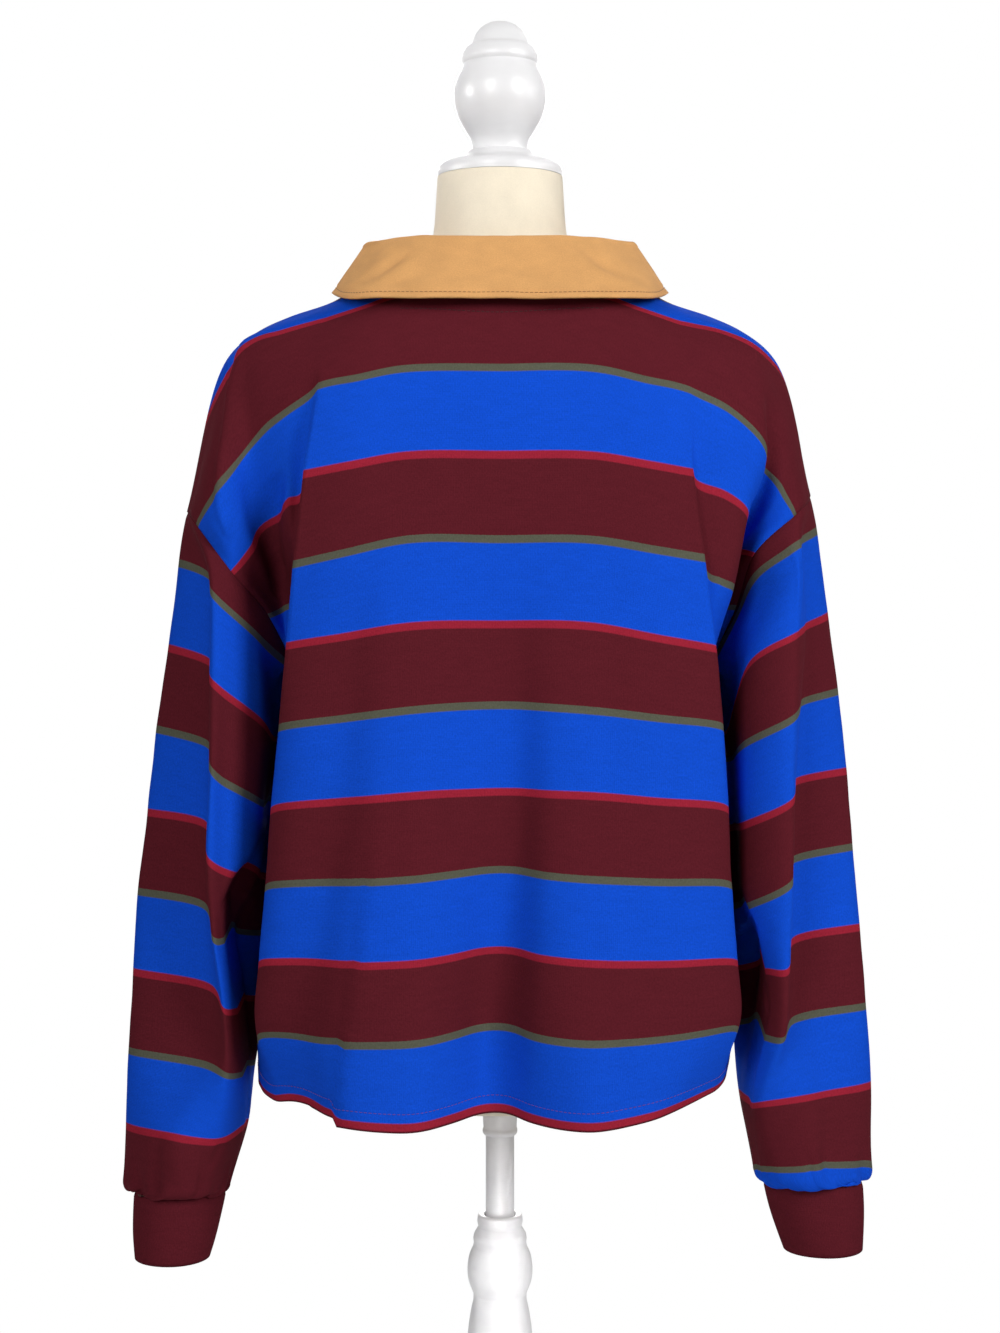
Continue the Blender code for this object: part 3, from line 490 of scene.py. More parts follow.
def cloth_v(grid, course, first, last, first_v):
    """v of a grid whose courses first to last lie COURSE apart, and by length of cloth beyond them."""
    v = first_v + (course - first)[:, None] * COURSE * np.ones(grid.shape[1])
    run = run_along(grid)
    top, bottom = np.searchsorted(course, first), np.searchsorted(course, last)
    v[:top] = v[top] + run[:top] - run[top]
    v[bottom:] = v[bottom] + run[bottom:] - run[bottom]
    return v


def panel_cloth(front):
    half = stations(np.array(TRACK_AT, float) * MM, TRACK_STEPS)
    across = np.concatenate([-half[:0:-1], half])
    rows = [ROW_STEPS] * (len(COURSES) - 2) + [2 * ROW_STEPS]
    course = stations(np.arange(len(COURSES)), rows)
    grid = panel_point(front, course, across)
    v = cloth_v(grid, course, COURSES.index("O1"), COURSES.index("O5"), 0)
    top = np.interp(np.abs(across), (0.150, 0.234), (1.0, SHOULDER_EASE))
    v = np.where(v < 0, v * top, v)
    low = np.clip((v - DROOP_V[0]) / DROOP_V[1], 0, 1)
    v -= SIDE_DROOP * low * np.clip((np.abs(across) - DROOP_U[0]) / DROOP_U[1], 0, 1.4) ** 2
    last = v[-rows[-1] - 1]
    v[-rows[-1] :] = last + (v[-rows[-1] :] - last) * (HEM_V - last) / (v[-1] - last)
    return Cloth(grid, -across if front else across, v)


def sleeve_cloth(table, sign, armhole):
    grid = sleeve_grid(table, sign, armhole)
    course = np.arange(len(grid)) / ROW_STEPS
    v = cloth_v(grid, course, 2, len(table) - 1, COURSE)
    v = np.where(v < COURSE, COURSE + (v - COURSE) * SLEEVE_EASE, v)
    u = np.arange(len(armhole)) * SLEEVE_ROUND / len(armhole)
    side = "left" if sign > 0 else "right"
    before, last = (len(table) - 1) * ROW_STEPS, len(table) * ROW_STEPS
    pull = np.interp(u, np.array(END_PULL[side])[:, 0] * MM, np.array(END_PULL[side])[:, 1])
    v[before:] = v[before] + (v[before:] - v[before]) * pull
    v[last:] = v[last] + (v[last:] - v[last]) * (END_V[side] - v[last]) / (v[-1] - v[last])
    if sign < 0:
        return Cloth(grid, u, v, SLEEVE_ROUND)
    # turned so that its outside faces out
    return Cloth(mirrored(grid), mirrored(u[None])[0] + SLEEVE_ROUND * (u == 0), mirrored(v), -SLEEVE_ROUND)


def mirrored(field):
    """A tube's columns in the other direction, from the same first one."""
    return np.concatenate([field[:, :1], field[:, :0:-1]], axis=1)


def share_seam(first, first_line, second, second_line):
    """Gives the edges of two pieces one normal, so that their walls meet."""
    shared = unit(first.normals[first_line] + second.normals[second_line])
    for cloth, line in ((first, first_line), (second, second_line)):
        cloth.normals[line] = shared
        cloth.seam[line] = True


def soft_noise(points, size, seed):
    """Smooth noise from -1 to 1 at each point, in lumps of about `size`."""
    flat = points.reshape(-1, 3) / size
    shift = Vector((seed * 7.3, seed * 3.1, seed * 5.7))
    values = [noise.noise(Vector(point) + shift) for point in flat]
    return np.array(values).reshape(points.shape[:2])


def along_route(cloth, route):
    """Of each point: distance from a route of (u, v) in mm, side (positive: left) and place, 0 to 1."""
    points = np.array(route, float) * MM
    best = np.full(cloth.u.shape, np.inf)
    side, place = np.zeros(cloth.u.shape), np.zeros(cloth.u.shape)
    lengths = np.linalg.norm(np.diff(points, axis=0), axis=1)
    before, total = 0.0, lengths.sum()
    for start, end, length in zip(points[:-1], points[1:], lengths):
        along = (end - start) / length
        du, dv = cloth.u - start[0], cloth.v - start[1]
        if cloth.closed:
            du = (du + abs(cloth.around) / 2) % abs(cloth.around) - abs(cloth.around) / 2
        run = np.clip(du * along[0] + dv * along[1], 0, length)
        away = np.hypot(du - run * along[0], dv - run * along[1])
        nearer = away < best
        best = np.where(nearer, away, best)
        side = np.where(nearer, du * along[1] - dv * along[0], side)
        place = np.where(nearer, (before + run) / total, place)
        before += length
    return best, side, np.clip(place, 0, 1)


def fold(cloth, route, height, left, right, to_edge=False):
    """A ridge, or with a negative height a trough, with its own width on each side, fading at its ends."""
    away, side, place = along_route(cloth, route)
    width = np.where(side > 0, left, right) * MM
    fade = np.sin(np.pi * place * (0.5 if to_edge else 1)) ** 0.6
    cloth.out += height * MM * bell(away, width) * fade


def slip(cloth, route, move, reach, to_edge=False, blur=2.5):
    """Moves the cloth left of a route by (x, y, z) in mm, so that it steps there, fading at its ends."""
    away, side, place = along_route(cloth, route)
    fade = np.sin(np.pi * place * (0.5 if to_edge else 1))
    share = np.clip(side / (blur * MM), 0, 1) * bell(away, reach * MM) * fade
    cloth.grid += share[..., None] * np.array(move, float) * MM


def add_object(name, data):
    obj = bpy.data.objects.new(name, data)
    bpy.context.scene.collection.objects.link(obj)
    return obj


def add_mesh(name, points, faces, material, smooth=180, uvs=None):
    """A mesh that is smooth where its faces meet at less than `smooth` degrees."""
    mesh = bpy.data.meshes.new(name)
    mesh.from_pydata(np.asarray(points).tolist(), [], faces)
    if uvs is not None:
        mesh.uv_layers.new(name="cloth").data.foreach_set("uv", np.asarray(uvs, np.float32).reshape(-1))
    mesh.shade_smooth()
    if smooth < 180:
        mesh.set_sharp_from_angle(angle=math.radians(smooth))
    mesh.materials.append(material)
    return add_object(name, mesh)


def dress(obj, node, body="form"):
    """Lets a piece ride on its body in the place of its solid."""
    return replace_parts(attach(obj, body), node)


def ring_faces(first, rings, sides):
    """Faces between rings of points that follow one another from the index `first`."""
    faces = []
    for start in range(first, first + (rings - 1) * sides, sides):
        for step in range(sides):
            a, b = start + step, start + (step + 1) % sides
            faces.append((a, a + sides, b + sides, b))
    return faces


def shell(name, cloth, thickness, material):
    """The closed wall of a settled cloth: outer points first, then the inner ones."""
    rows, columns = cloth.grid.shape[:2]
    spans = columns if cloth.closed else columns - 1
    points = np.stack([cloth.grid, cloth.grid - cloth.normals * thickness])
    u = np.concatenate([cloth.u, cloth.u[:, :1] + cloth.around], axis=1)
    v = np.concatenate([cloth.v, cloth.v[:, :1]], axis=1)
    faces, uvs = [], []

    def add(*corners):
        """Adds faces by their corners: rows, columns, and 0 for the outer or 1 for the inner side."""
        faces.append(np.stack([(side * rows + r) * columns + c % columns for r, c, side in corners], axis=1))
        uvs.append(np.stack([np.stack([u[r, c], v[r, c]], axis=-1) for r, c, _ in corners], axis=1))

    row, column = (part.ravel() for part in np.meshgrid(np.arange(rows - 1), np.arange(spans), indexing="ij"))
    quad = [(row, column), (row + 1, column), (row + 1, column + 1), (row, column + 1)]
    add(*((r, c, 0) for r, c in quad))
    add(*((r, c, 1) for r, c in quad[::-1]))
    across, down = np.arange(spans), np.arange(rows - 1)
    bottom, right = across * 0 + rows - 1, down * 0 + columns - 1
    rims = [((across * 0, across + 1), (across * 0, across)), ((bottom, across), (bottom, across + 1))]
    if not cloth.closed:
        rims += [((down, down * 0), (down + 1, down * 0)), ((down + 1, right), (down, right))]
    for start, end in rims:
        add((*start, 0), (*start, 1), (*end, 1), (*end, 0))
    points, faces = points.reshape(-1, 3), np.concatenate(faces).tolist()
    return turn_out(add_mesh(name, points, faces, material, uvs=np.concatenate(uvs)))


def turn_out(obj):
    """Turns a closed mesh's faces out, where its volume says that they point in."""
    mesh = obj.data
    mesh.calc_loop_triangles()
    points = np.empty(len(mesh.vertices) * 3)
    mesh.vertices.foreach_get("co", points)
    faces = np.empty(len(mesh.loop_triangles) * 3, np.int32)
    mesh.loop_triangles.foreach_get("vertices", faces)
    corners = points.reshape(-1, 3)[faces.reshape(-1, 3)]
    if np.einsum("ij,ij->i", corners[:, 0], np.cross(corners[:, 1], corners[:, 2])).sum() < 0:
        mesh.flip_normals()
    return obj


def at_row(cloth, column, row):
    """Point and normal of a column where the row may be between two."""
    low = int(min(row, len(cloth.v) - 2))
    share = row - low
    return [f[low, column] * (1 - share) + f[low + 1, column] * share for f in (cloth.grid, cloth.normals)]


def on_cloth(cloth, u, v):
    """(points, normals) of an open cloth at places u, v."""
    order = np.argsort(cloth.u[0])
    rows, found = np.arange(len(cloth.v)), []
    for place, down in zip(np.interp(u, cloth.u[0][order], order.astype(float)), v):
        low = int(min(place, cloth.grid.shape[1] - 2))
        share = place - low
        ends = [at_row(cloth, column, np.interp(down, cloth.v[:, column], rows)) for column in (low, low + 1)]
        found.append([start * (1 - share) + end * share for start, end in zip(*ends)])
    points, normals = np.array(found).swapaxes(0, 1)
    return points, unit(normals)


STITCH_RINGS = ((0.0, 0.35), (0.18, 1.0), (0.82, 1.0), (1.0, 0.35))  # place along it, share of its radius
STITCH_SIDES = 6


def stitches(name, route, material, slot, length=0.0026, pitch=0.0036, radius=0.00025, lift=0.0001):
    """A row of stitches along a route of (points, normals) on the cloth, each a small capsule."""
    run = run_along(route[0])
    turn = turns(STITCH_SIDES)[:, None]
    points, faces = [], []
    for start in np.arange(0, run[-1] - length, pitch):
        base, tip, up, tip_up = (
            np.array([np.interp(at, run, axis) for axis in field.T])
            for field in route for at in (start, start + length)
        )
        up = unit(up + tip_up)
        spokes = np.cross(unit(tip - base), up) * np.cos(turn) + up * np.sin(turn)
        first = len(points) * STITCH_SIDES
        for place, share in STITCH_RINGS:
            middle = base + (tip - base) * place + up * (lift + radius * 0.6 * share)
            points.append(middle + spokes * radius * share)
        faces += [(a, d, c, b) for a, b, c, d in ring_faces(first, len(STITCH_RINGS), STITCH_SIDES)]
        last = len(points) * STITCH_SIDES
        for a, b, c, d, e, f in (range(first, first + STITCH_SIDES)[::-1], range(last - STITCH_SIDES, last)):
            faces += [(a, b, c, d), (a, d, e, f)]
    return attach(add_mesh(name, np.concatenate(points), faces, material), "form")


# ---- materials

EVEN = (1, 1, 1)  # the stretch of a grain that is the same in all directions


class Finish:
    """A node material in the making: its tree, its shader and short ways to add nodes."""

    def __init__(self, name, roughness, sheen=0.0, specular=0.3, coat=0.0):
        self.material = bpy.data.materials.new(name)
        self.material.use_nodes = True
        self.tree = self.material.node_tree
        self.shader = self.tree.nodes["Principled BSDF"]
        for key, value in (
            ("Roughness", roughness), ("Specular IOR Level", specular), ("Sheen Weight", sheen),
            ("Sheen Roughness", 0.5), ("Coat Weight", coat), ("Coat Roughness", 0.2),
        ):
            self.shader.inputs[key].default_value = value

    def node(self, kind, **settings):
        made = self.tree.nodes.new(kind)
        for key, value in settings.items():
            setattr(made, key, value)
        return made

    def feed(self, socket, value):
        if isinstance(value, bpy.types.NodeSocket):
            self.tree.links.new(value, socket)
        else:
            socket.default_value = value

    def math(self, operation, *values):
        made = self.node("ShaderNodeMath", operation=operation)
        for socket, value in zip(made.inputs, values):
            self.feed(socket, value)
        return made.outputs[0]

    def flat_cloth(self):
        """Sockets of u and v, in metres, and of both."""
        place = self.node("ShaderNodeUVMap", uv_map="cloth").outputs[0]
        split = self.node("ShaderNodeSeparateXYZ")
        self.feed(split.inputs[0], place)
        return split.outputs[0], split.outputs[1], place

    def own_space(self):
        return self.node("ShaderNodeTexCoord").outputs["Object"]

    def plain(self, colour):
        made = self.node("ShaderNodeRGB").outputs[0]
        made.default_value = linear(colour)
        return made

    def grain(self, vector, scale, detail, stretch=EVEN):
        if stretch != EVEN:
            mapping = self.node("ShaderNodeMapping")
            self.feed(mapping.inputs["Vector"], vector)
            mapping.inputs["Scale"].default_value = stretch
            vector = mapping.outputs[0]
        made = self.node("ShaderNodeTexNoise")
        self.feed(made.inputs["Vector"], vector)
        made.inputs["Scale"].default_value = scale
        made.inputs["Detail"].default_value = detail
        return made.outputs["Fac"]

    def spread(self, value, ends, **settings):
        """The value, with the range from the first to the second end brought to the other two."""
        made = self.node("ShaderNodeMapRange", **settings)
        self.feed(made.inputs["Value"], value)
        for key, end in zip(("From Min", "From Max", "To Min", "To Max"), ends):
            made.inputs[key].default_value = end
        return made.outputs[0]

    def bump(self, height, distance, strength):
        made = self.node("ShaderNodeBump")
        made.inputs["Strength"].default_value = strength
        made.inputs["Distance"].default_value = distance
        self.feed(made.inputs["Height"], height)
        before = self.shader.inputs["Normal"]
        if before.is_linked:
            self.feed(made.inputs["Normal"], before.links[0].from_socket)
        self.feed(before, made.outputs[0])

    def waves(self, value, pitch):
        """A wave from -1 to 1 that repeats every `pitch`."""
        return self.math("SINE", self.math("MULTIPLY_ADD", value, 2 * math.pi / pitch, 0.0))

    def grained(self, colour, place, grains):
        """The material, its colour and surface broken up by rows of grains like KNIT_GRAINS'."""
        for scale, detail, stretch, low, high, distance, strength in grains:
            grain = self.grain(place, scale, detail, stretch)
            if low < high:
                mixed = self.node("ShaderNodeVectorMath", operation="SCALE")
                self.feed(mixed.inputs[0], colour)
                self.feed(mixed.inputs["Scale"], self.spread(grain, (0.25, 0.75, low, high)))
                colour = mixed.outputs[0]
            if distance:
                self.bump(grain, distance, strength)
        self.feed(self.shader.inputs["Base Color"], colour)
        return self.material


WALE, KNIT_ROW = 0.0024, 0.0013  # pitch of the jersey's wales and courses
TWILL_RIB = 0.0011  # pitch of the twill's diagonal
KNIT_BUMP, TWILL_BUMP = (0.00006, 0.5), (0.00008, 0.6)  # depth and strength of the weave's bump
YARN_BLUR, YARN_GRAIN = 0.0003, 1500  # half the blur between two yarns, and the scale of its wander
KNIT_GRAINS = (
    # scale, detail, stretch, colour multiplied from, to, depth and strength of its bump
    (900, 3, (1.0, 0.6, 1.0), 0.86, 1.14, 0.0002, 0.6),
    (120, 4, (0.5, 1.6, 1.0), 0.95, 1.05, 0, 0),
)
TWILL_GRAINS = ((1100, 3, EVEN, 0.9, 1.1, 0.0002, 0.5), (60, 5, EVEN, 0.93, 1.07, 0.0008, 0.3))
FLOOR_GRAINS = ((3, 2, EVEN, 0.99, 1.01, 0, 0),)
THREAD_LOOK = {"roughness": 0.7, "sheen": 0.2}
THREAD_GRAINS = ((2500, 2, EVEN, 0.8, 1.2, 0.0001, 0.5),)
SOLID_FINISHES = {
    # name: colour, its Finish and its grains
    "form_cover": (
        CREAM, {"roughness": 0.85, "sheen": 0.5, "specular": 0.2},
        ((900, 3, EVEN, 0.97, 1.03, 0.0002, 0.5), (55, 4, EVEN, 0.95, 1.03, 0.001, 0.3)),
    ),
    "painted_wood": (
        WHITE, {"roughness": 0.32, "specular": 0.5, "coat": 0.15},
        ((40, 3, (1, 1, 3), 0.98, 1.02, 0.0004, 0.15), (600, 2, EVEN, 1, 1, 0.00005, 0.2)),
    ),
    "button": (
        (228, 218, 200), {"roughness": 0.45, "specular": 0.4},
        ((180, 3, EVEN, 0.94, 1.04, 0.0001, 0.3),),
    ),
    "tan_thread": ((140, 88, 44), THREAD_LOOK, THREAD_GRAINS),
    "hem_thread": (THREAD, THREAD_LOOK, THREAD_GRAINS),
    "maroon_thread": ((40, 8, 14), THREAD_LOOK, THREAD_GRAINS),
}


def knit(finish, u, v, place, colour):
    """A plain knit: fine wales and courses, a fuzz of loose fibre and soft mottling."""
    wale = finish.math("ABSOLUTE", finish.waves(u, WALE))
    course = finish.math("MULTIPLY", finish.waves(v, KNIT_ROW), 0.4)
    finish.bump(finish.math("ADD", wale, course), *KNIT_BUMP)
    return finish.grained(colour, place, KNIT_GRAINS)


def jersey_finish():
    """Heavy cotton jersey with the stripes knitted in."""
    finish = Finish("jersey", 0.95, specular=0.04)
    u, v, place = finish.flat_cloth()
    wander = finish.math("MULTIPLY_ADD", finish.grain(place, YARN_GRAIN, 1), 2 * YARN_BLUR, -YARN_BLUR)
    down = finish.math("FLOORED_MODULO", finish.math("ADD", v, wander), REPEAT)
    ramp = finish.node("ShaderNodeValToRGB")
    finish.feed(ramp.inputs[0], finish.math("DIVIDE", down, REPEAT))
    stops = ramp.color_ramp.elements
    while len(stops) < 8:
        stops.new(0.5)
    soft = YARN_BLUR / REPEAT
    places = [(0.0, OLIVE)]
    for edge, above, below in ((LINE, OLIVE, BLUE), (COURSE, BLUE, RED), (COURSE + LINE, RED, MAROON)):
        places += [(edge / REPEAT - soft, above), (edge / REPEAT + soft, below)]
    for stop, (at, colour) in zip(stops, places + [(1 - soft, MAROON)]):
        stop.position = at
        stop.color = linear(colour)
    return knit(finish, u, v, place, ramp.outputs[0])


def rib_finish():
    finish = Finish("rib", 0.95, specular=0.04)
    return knit(finish, *finish.flat_cloth(), finish.plain(MAROON))


def twill_finish():
    """Cotton twill: a fine diagonal over a slight unevenness of the dye."""
    finish = Finish("twill", 0.9, sheen=0.04, specular=0.1)
    u, v, place = finish.flat_cloth()
    finish.bump(finish.waves(finish.math("ADD", u, v), TWILL_RIB), *TWILL_BUMP)
    return finish.grained(finish.plain(TAN), place, TWILL_GRAINS)


def solid_finish(name):
    """A finish of one colour, laid out in the piece's own space."""
    colour, look, grains = SOLID_FINISHES[name]
    finish = Finish(name, **look)
    return finish.grained(finish.plain(colour), finish.own_space(), grains)


# ---- the pieces

BACK_FOLDS = (
    # route of (u, v), height, width to its left and to its right, whether it runs out at the hem
    # the long fold left of the middle: a ridge, and the hollow beside it
    (((82, 100), (86, 286), (94, 405), (103, 490), (115, 578)), 5.0, 14, 40, True),
    (((108, 150), (114, 330), (126, 440), (140, 570)), -6.0, 20, 14, True),
    # the hollow below the middle of the back, and the ridge right of it
    (((-12, 170), (-12, 330), (-7, 440), (2, 540)), -4.0, 30, 16),
    (((-44, 190), (-44, 330), (-40, 440), (-32, 578)), 9.0, 22, 32, True),
    (((44, 330), (44, 578)), 3.0, 25, 20, True),
    (((8, 380), (12, 480), (14, 578)), -3.0, 22, 20, True),
    # slighter ones
    (((48, 290), (46, 400), (45, 578)), -2.0, 16, 12, True),
    (((-100, 320), (-98, 450), (-96, 578)), -1.5, 14, 14, True),
    (((-76, 380), (-88, 470), (-100, 520), (-106, 560)), 1.6, 7, 10),
    (((150, 250), (156, 400), (160, 560)), -3.0, 14, 14),
    (((-142, 150), (-150, 330), (-150, 570)), -3.0, 16, 12),
    # the valleys between the back and the arms
    (((-218, -34), (-227, -9), (-231, 4), (-238, 28), (-250, 66)), -12.0, 9, 11),
    (((186, 40), (203, 71), (212, 97), (240, 120)), -11.0, 12, 9),
    (((211, -84), (220, -58), (227, -46), (228, -21), (234, -3), (241, 16), (248, 44)), 5.0, 4, 12),
    (((219, -50), (215, -15), (213, 15), (214, 45), (218, 70)), -6.0, 8, 9),
)
FRONT_FOLDS = (
    (((70, 180), (78, 380), (88, 578)), 4.0, 16, 34, True),
    (((-60, 220), (-66, 400), (-74, 578)), 4.0, 28, 18, True),
    (((8, 300), (6, 440), (4, 560)), -3.0, 24, 20),
    (((120, 60), (140, 200), (150, 330)), -3.0, 14, 18),
    (((-120, 60), (-140, 200), (-150, 330)), -3.0, 18, 14),
)
BACK_SLIPS = (
    # route of (u, v), move of the cloth to its left as (x, y, z), how far it reaches, whether to the hem
    (((86, 300), (94, 405), (101, 490), (107, 536), (116, 578)), (0, -5, 1), 45, True),
    (((101, 490), (107, 536), (116, 578)), (0, -1, 3.5), 15, True),
)
SLEEVE_SLIPS = {
    "left": (
        # the bag of cloth over the elbow, and the hollow that it leaves
        (((260, 80), (200, 128), (160, 159), (132, 191), (121, 222), (137, 254), (148, 306), (152, 377),
          (154, 440), (156, 480)), (0, -42, 5), 60),
    ),
    "right": (
        (((170, 232), (154, 258), (146, 278), (156, 310), (152, 333), (150, 357), (154, 390), (156, 417),
          (144, 460)), (0, -30, 13), 60),
    ),
}
SLEEVE_FOLDS = {
    "left": (
        (((50, -10), (48, 150), (46, 300), (44, 440)), -3.5, 12, 20),
        (((116, 60), (118, 160), (122, 215)), -2.0, 7, 9),
        # the puckers and the bulge above the cuff
        (((48, 448), (46, 470), (43, 490)), -2.8, 4, 5, True),
        (((93, 455), (91, 476), (90, 492)), -2.2, 4, 4, True),
        (((110, 446), (105, 460), (96, 470)), -2.2, 5, 5),
        (((70, 440), (68, 466), (66, 488)), 2.2, 12, 12),
        (((212, 16), (240, 16), (270, 16)), 3.0, 16, 16),
    ),
    "right": (
        (((56, -10), (54, 150), (52, 300), (50, 440)), -3.5, 12, 20),
        (((100, -6), (100, 25), (100, 54), (99, 70)), 1.4, 4, 5),
        (((84, -6), (88, 20), (93, 54), (98, 68)), 1.4, 4, 5),
        (((153, 330), (147, 357), (153, 389), (155, 417), (142, 452)), -2.5, 4, 5),
        # the long hollow above the cuff, and the puckers beside it
        (((38, 340), (42, 420), (44, 470), (49, 514)), -3.5, 8, 14, True),
        (((53, 493), (52, 506), (51, 518)), -2.0, 3, 3, True),
        (((69, 495), (68, 507), (67, 518)), -1.8, 3, 3, True),
        (((212, 16), (240, 16), (270, 16)), 3.0, 16, 16),
    ),
}
CUFF_LIFT = {"left": 0.0045, "right": 0.0065}  # how much higher than its solids' a cuff's seam sits
LIFT_REACH = 0.014
SEAM_TUCK = 0.0011  # how far a seam draws the cloth's edges in
SEAM_REACH = 0.0035  # and how far from the seam
EASE_REACH = 0.012  # how far from a seam the folds stay small, so that the pieces meet
TOP_TUCK, CUFF_TUCK = 0.0006, 0.0008  # the tuck at a panel's top and at a cuff's seam


def tuck(cloth, away, depth=SEAM_TUCK):
    cloth.out -= depth * bell(away, SEAM_REACH)


SOFT_WAVES = ((0.0012, 0.09), (0.0004, 0.028))  # height and size of the broad lumps and of the fine ones


def soft_waves(cloth, seed):
    """Slight unevenness all over the cloth."""
    for step, (height, size) in enumerate(SOFT_WAVES):
        cloth.out += height * soft_noise(cloth.grid, size, seed + step)


def build_shirt(jersey):
    back, front = panel_cloth(False), panel_cloth(True)
    for row in BACK_SLIPS:
        slip(back, *row)
    back.normals = normals_of(back.grid, False)
    last = back.grid.shape[1] - 1
    middle = last // 2
    armhole = np.arange(PIT * ROW_STEPS + 1)
    below = np.arange(armhole[-1], len(back.grid))
    neck = sum(TRACK_STEPS[:2])
    sleeves = {}
    for side, sign, table in (("left", 1, LEFT_SLEEVE), ("right", -1, RIGHT_SLEEVE)):
        back_edge, front_edge = (last, 0) if sign > 0 else (0, last)
        loop = np.concatenate([back.grid[armhole, back_edge], front.grid[armhole[1:-1], front_edge][::-1]])
        sleeve = sleeve_cloth(table, sign, loop)
        for row in SLEEVE_SLIPS[side]:
            slip(sleeve, *row)
        lift = CUFF_LIFT[side] * backward(sleeve.grid[-1])
        sleeve.grid[..., 2] += lift * bell(sleeve.from_row(-1), LIFT_REACH)
        sleeve.normals = normals_of(sleeve.grid, True)
        sleeves[side] = sleeve
        count = len(loop)
        back_columns = (count - armhole) % count if sign > 0 else armhole
        front_columns = armhole if sign > 0 else (count - armhole) % count
        share_seam(back, (armhole, back_edge), sleeve, (0, back_columns))
        share_seam(front, (armhole[1:-1], front_edge), sleeve, (0, front_columns[1:-1]))
        share_seam(back, (below, back_edge), front, (below, front_edge))
        for row in (0, armhole[-1]):
            front.normals[row, front_edge] = back.normals[row, back_edge]
            sleeve.normals[0, back_columns[row]] = back.normals[row, back_edge]
        reach = np.arange(neck, middle + 1)
        share_seam(back, (0, middle + sign * reach), front, (0, middle - sign * reach))
    for cloth in (back, front):
        for column in (0, last):
            tuck(cloth, cloth.from_column(column))
        tuck(cloth, cloth.from_row(0), TOP_TUCK)
        edge = cloth.from_row(-1)
        # the hem's two plies, and the line that its stitches press in
        cloth.out += HEM_PLY / (1 + np.exp(np.clip((edge - HEM_DEPTH) / HEM_STEP, -30, 30)))
        cloth.out -= HEM_PRESS[0] * bell(edge - HEM_STITCH, HEM_PRESS[1])
    soft_waves(back, 1)
    soft_waves(front, 5)
    for cloth, rows in ((back, BACK_FOLDS), (front, FRONT_FOLDS)):
        for row in rows:
            fold(cloth, *row)
    for cloth in (back, front):
        hold_seams(cloth, last)
        cloth.settle()
    pieces = {"back_panel": back, "front_panel": front}
    for side, sleeve in sleeves.items():
        tuck(sleeve, sleeve.from_row(0))
        soft_waves(sleeve, 9 if side == "left" else 13)
        for row in SLEEVE_FOLDS[side]:
            fold(sleeve, *row)
        gathers(sleeve, side)
        top = sleeve.from_row(0)
        held = sleeve.out * (1 - bell(top, EASE_REACH)) - SEAM_TUCK * bell(top, SEAM_REACH)
        sleeve.out = np.where(top < 1e-9, -SEAM_TUCK, held)
        sleeve.settle()
        pieces[f"sleeve_{side}"] = sleeve
    for name, cloth in pieces.items():
        pieces[name] = cloth, dress(shell(name + "_cloth", cloth, WALL, jersey), name)
    return pieces


def backward(ring):
    """How far each point of a ring lies to its back: 0 at the sides and before them, 1 at the back."""
    y = ring[:, 1] - ring[:, 1].mean()
    return np.clip(y / y.max(), 0, 1)


def hold_seams(cloth, last):
    """Leaves only the seam's own tuck at a panel's sides, so that the panels still meet there."""
    for column in (0, last):
        away = cloth.from_column(column)
        held = bell(away, EASE_REACH)
        cloth.out = cloth.out * (1 - held) - SEAM_TUCK * bell(away, SEAM_REACH) * held
        cloth.out[:, column] = -SEAM_TUCK
    cloth.out *= 1 - bell(cloth.from_row(0), EASE_REACH)
    cloth.out[0] = -TOP_TUCK


GATHERS = 0.0040  # height of the puckers
GATHERS_FROM, GATHERS_REACH = 0.003, 0.028  # where they begin above the cuff, and how far they run up
GATHERS_PHASE = {"left": 0.7, "right": 2.1}


def gathers(sleeve, side):
    """Puckers where the sleeve is eased into the cuff."""
    away = sleeve.from_row(-1)
    around = 2 * math.pi * sleeve.u / SLEEVE_ROUND
    phase = GATHERS_PHASE[side]
    ripple = np.sin(9 * around + phase) * 0.6 + np.sin(23 * around + 2 * phase) * 0.4
    ripple *= 0.6 + 0.4 * np.sin(3 * around + phase)
    sleeve.out += GATHERS * ripple * bell(away, GATHERS_REACH) * (1 - bell(away, GATHERS_FROM))
    tuck(sleeve, away, CUFF_TUCK)


CUFF_ROWS = 15
CUFF_RIB, CUFF_SWELL = 0.0002, 0.0012  # how far its ribs stand out, and its middle
CUFF_TUCK_REACH = 0.002
CUFF_WAVE, CUFF_WAVE_SIZE = 0.0006, 0.03


def build_cuff(side, rib):
    down = np.linspace(0, 1, CUFF_ROWS)[:, None]
    rings = np.array([cuff_ring(side, place, CUFF_SIDES) for place in down[:, 0]])
    if side == "left":
        rings = mirrored(rings)
    rings[..., 2] += CUFF_LIFT[side] * backward(rings[0]) * (1 - down) ** 2
    top, bottom = CUFFS[side]
    height = (top[3] - bottom[3]) * MM
    columns = np.arange(CUFF_SIDES)
    cloth = Cloth(rings, columns * CUFF_ROUND / CUFF_SIDES, down * height, CUFF_ROUND)
    cloth.normals = unit(cloth.normals * (1, 1, 0))
    ribs = np.cos(columns * math.pi) * np.sin(np.pi * np.clip(down * 8, 0, 0.5))
    cloth.out += CUFF_RIB * ribs + CUFF_SWELL * np.sin(np.pi * down)
    cloth.out -= CUFF_TUCK * bell(down * height, CUFF_TUCK_REACH)
    cloth.out += CUFF_WAVE * soft_noise(cloth.grid, CUFF_WAVE_SIZE, 21)
    cloth.settle()
    return cloth, dress(shell(f"cuff_{side}_cloth", cloth, CUFF_WALL, rib), f"cuff_{side}")


FOLD_TURNS = np.linspace(10, 160, 9)  # degrees of turn over the collar's fold
STAND_PARTS = np.linspace(0, 0.88, 8)
FALL_STEPS = 22


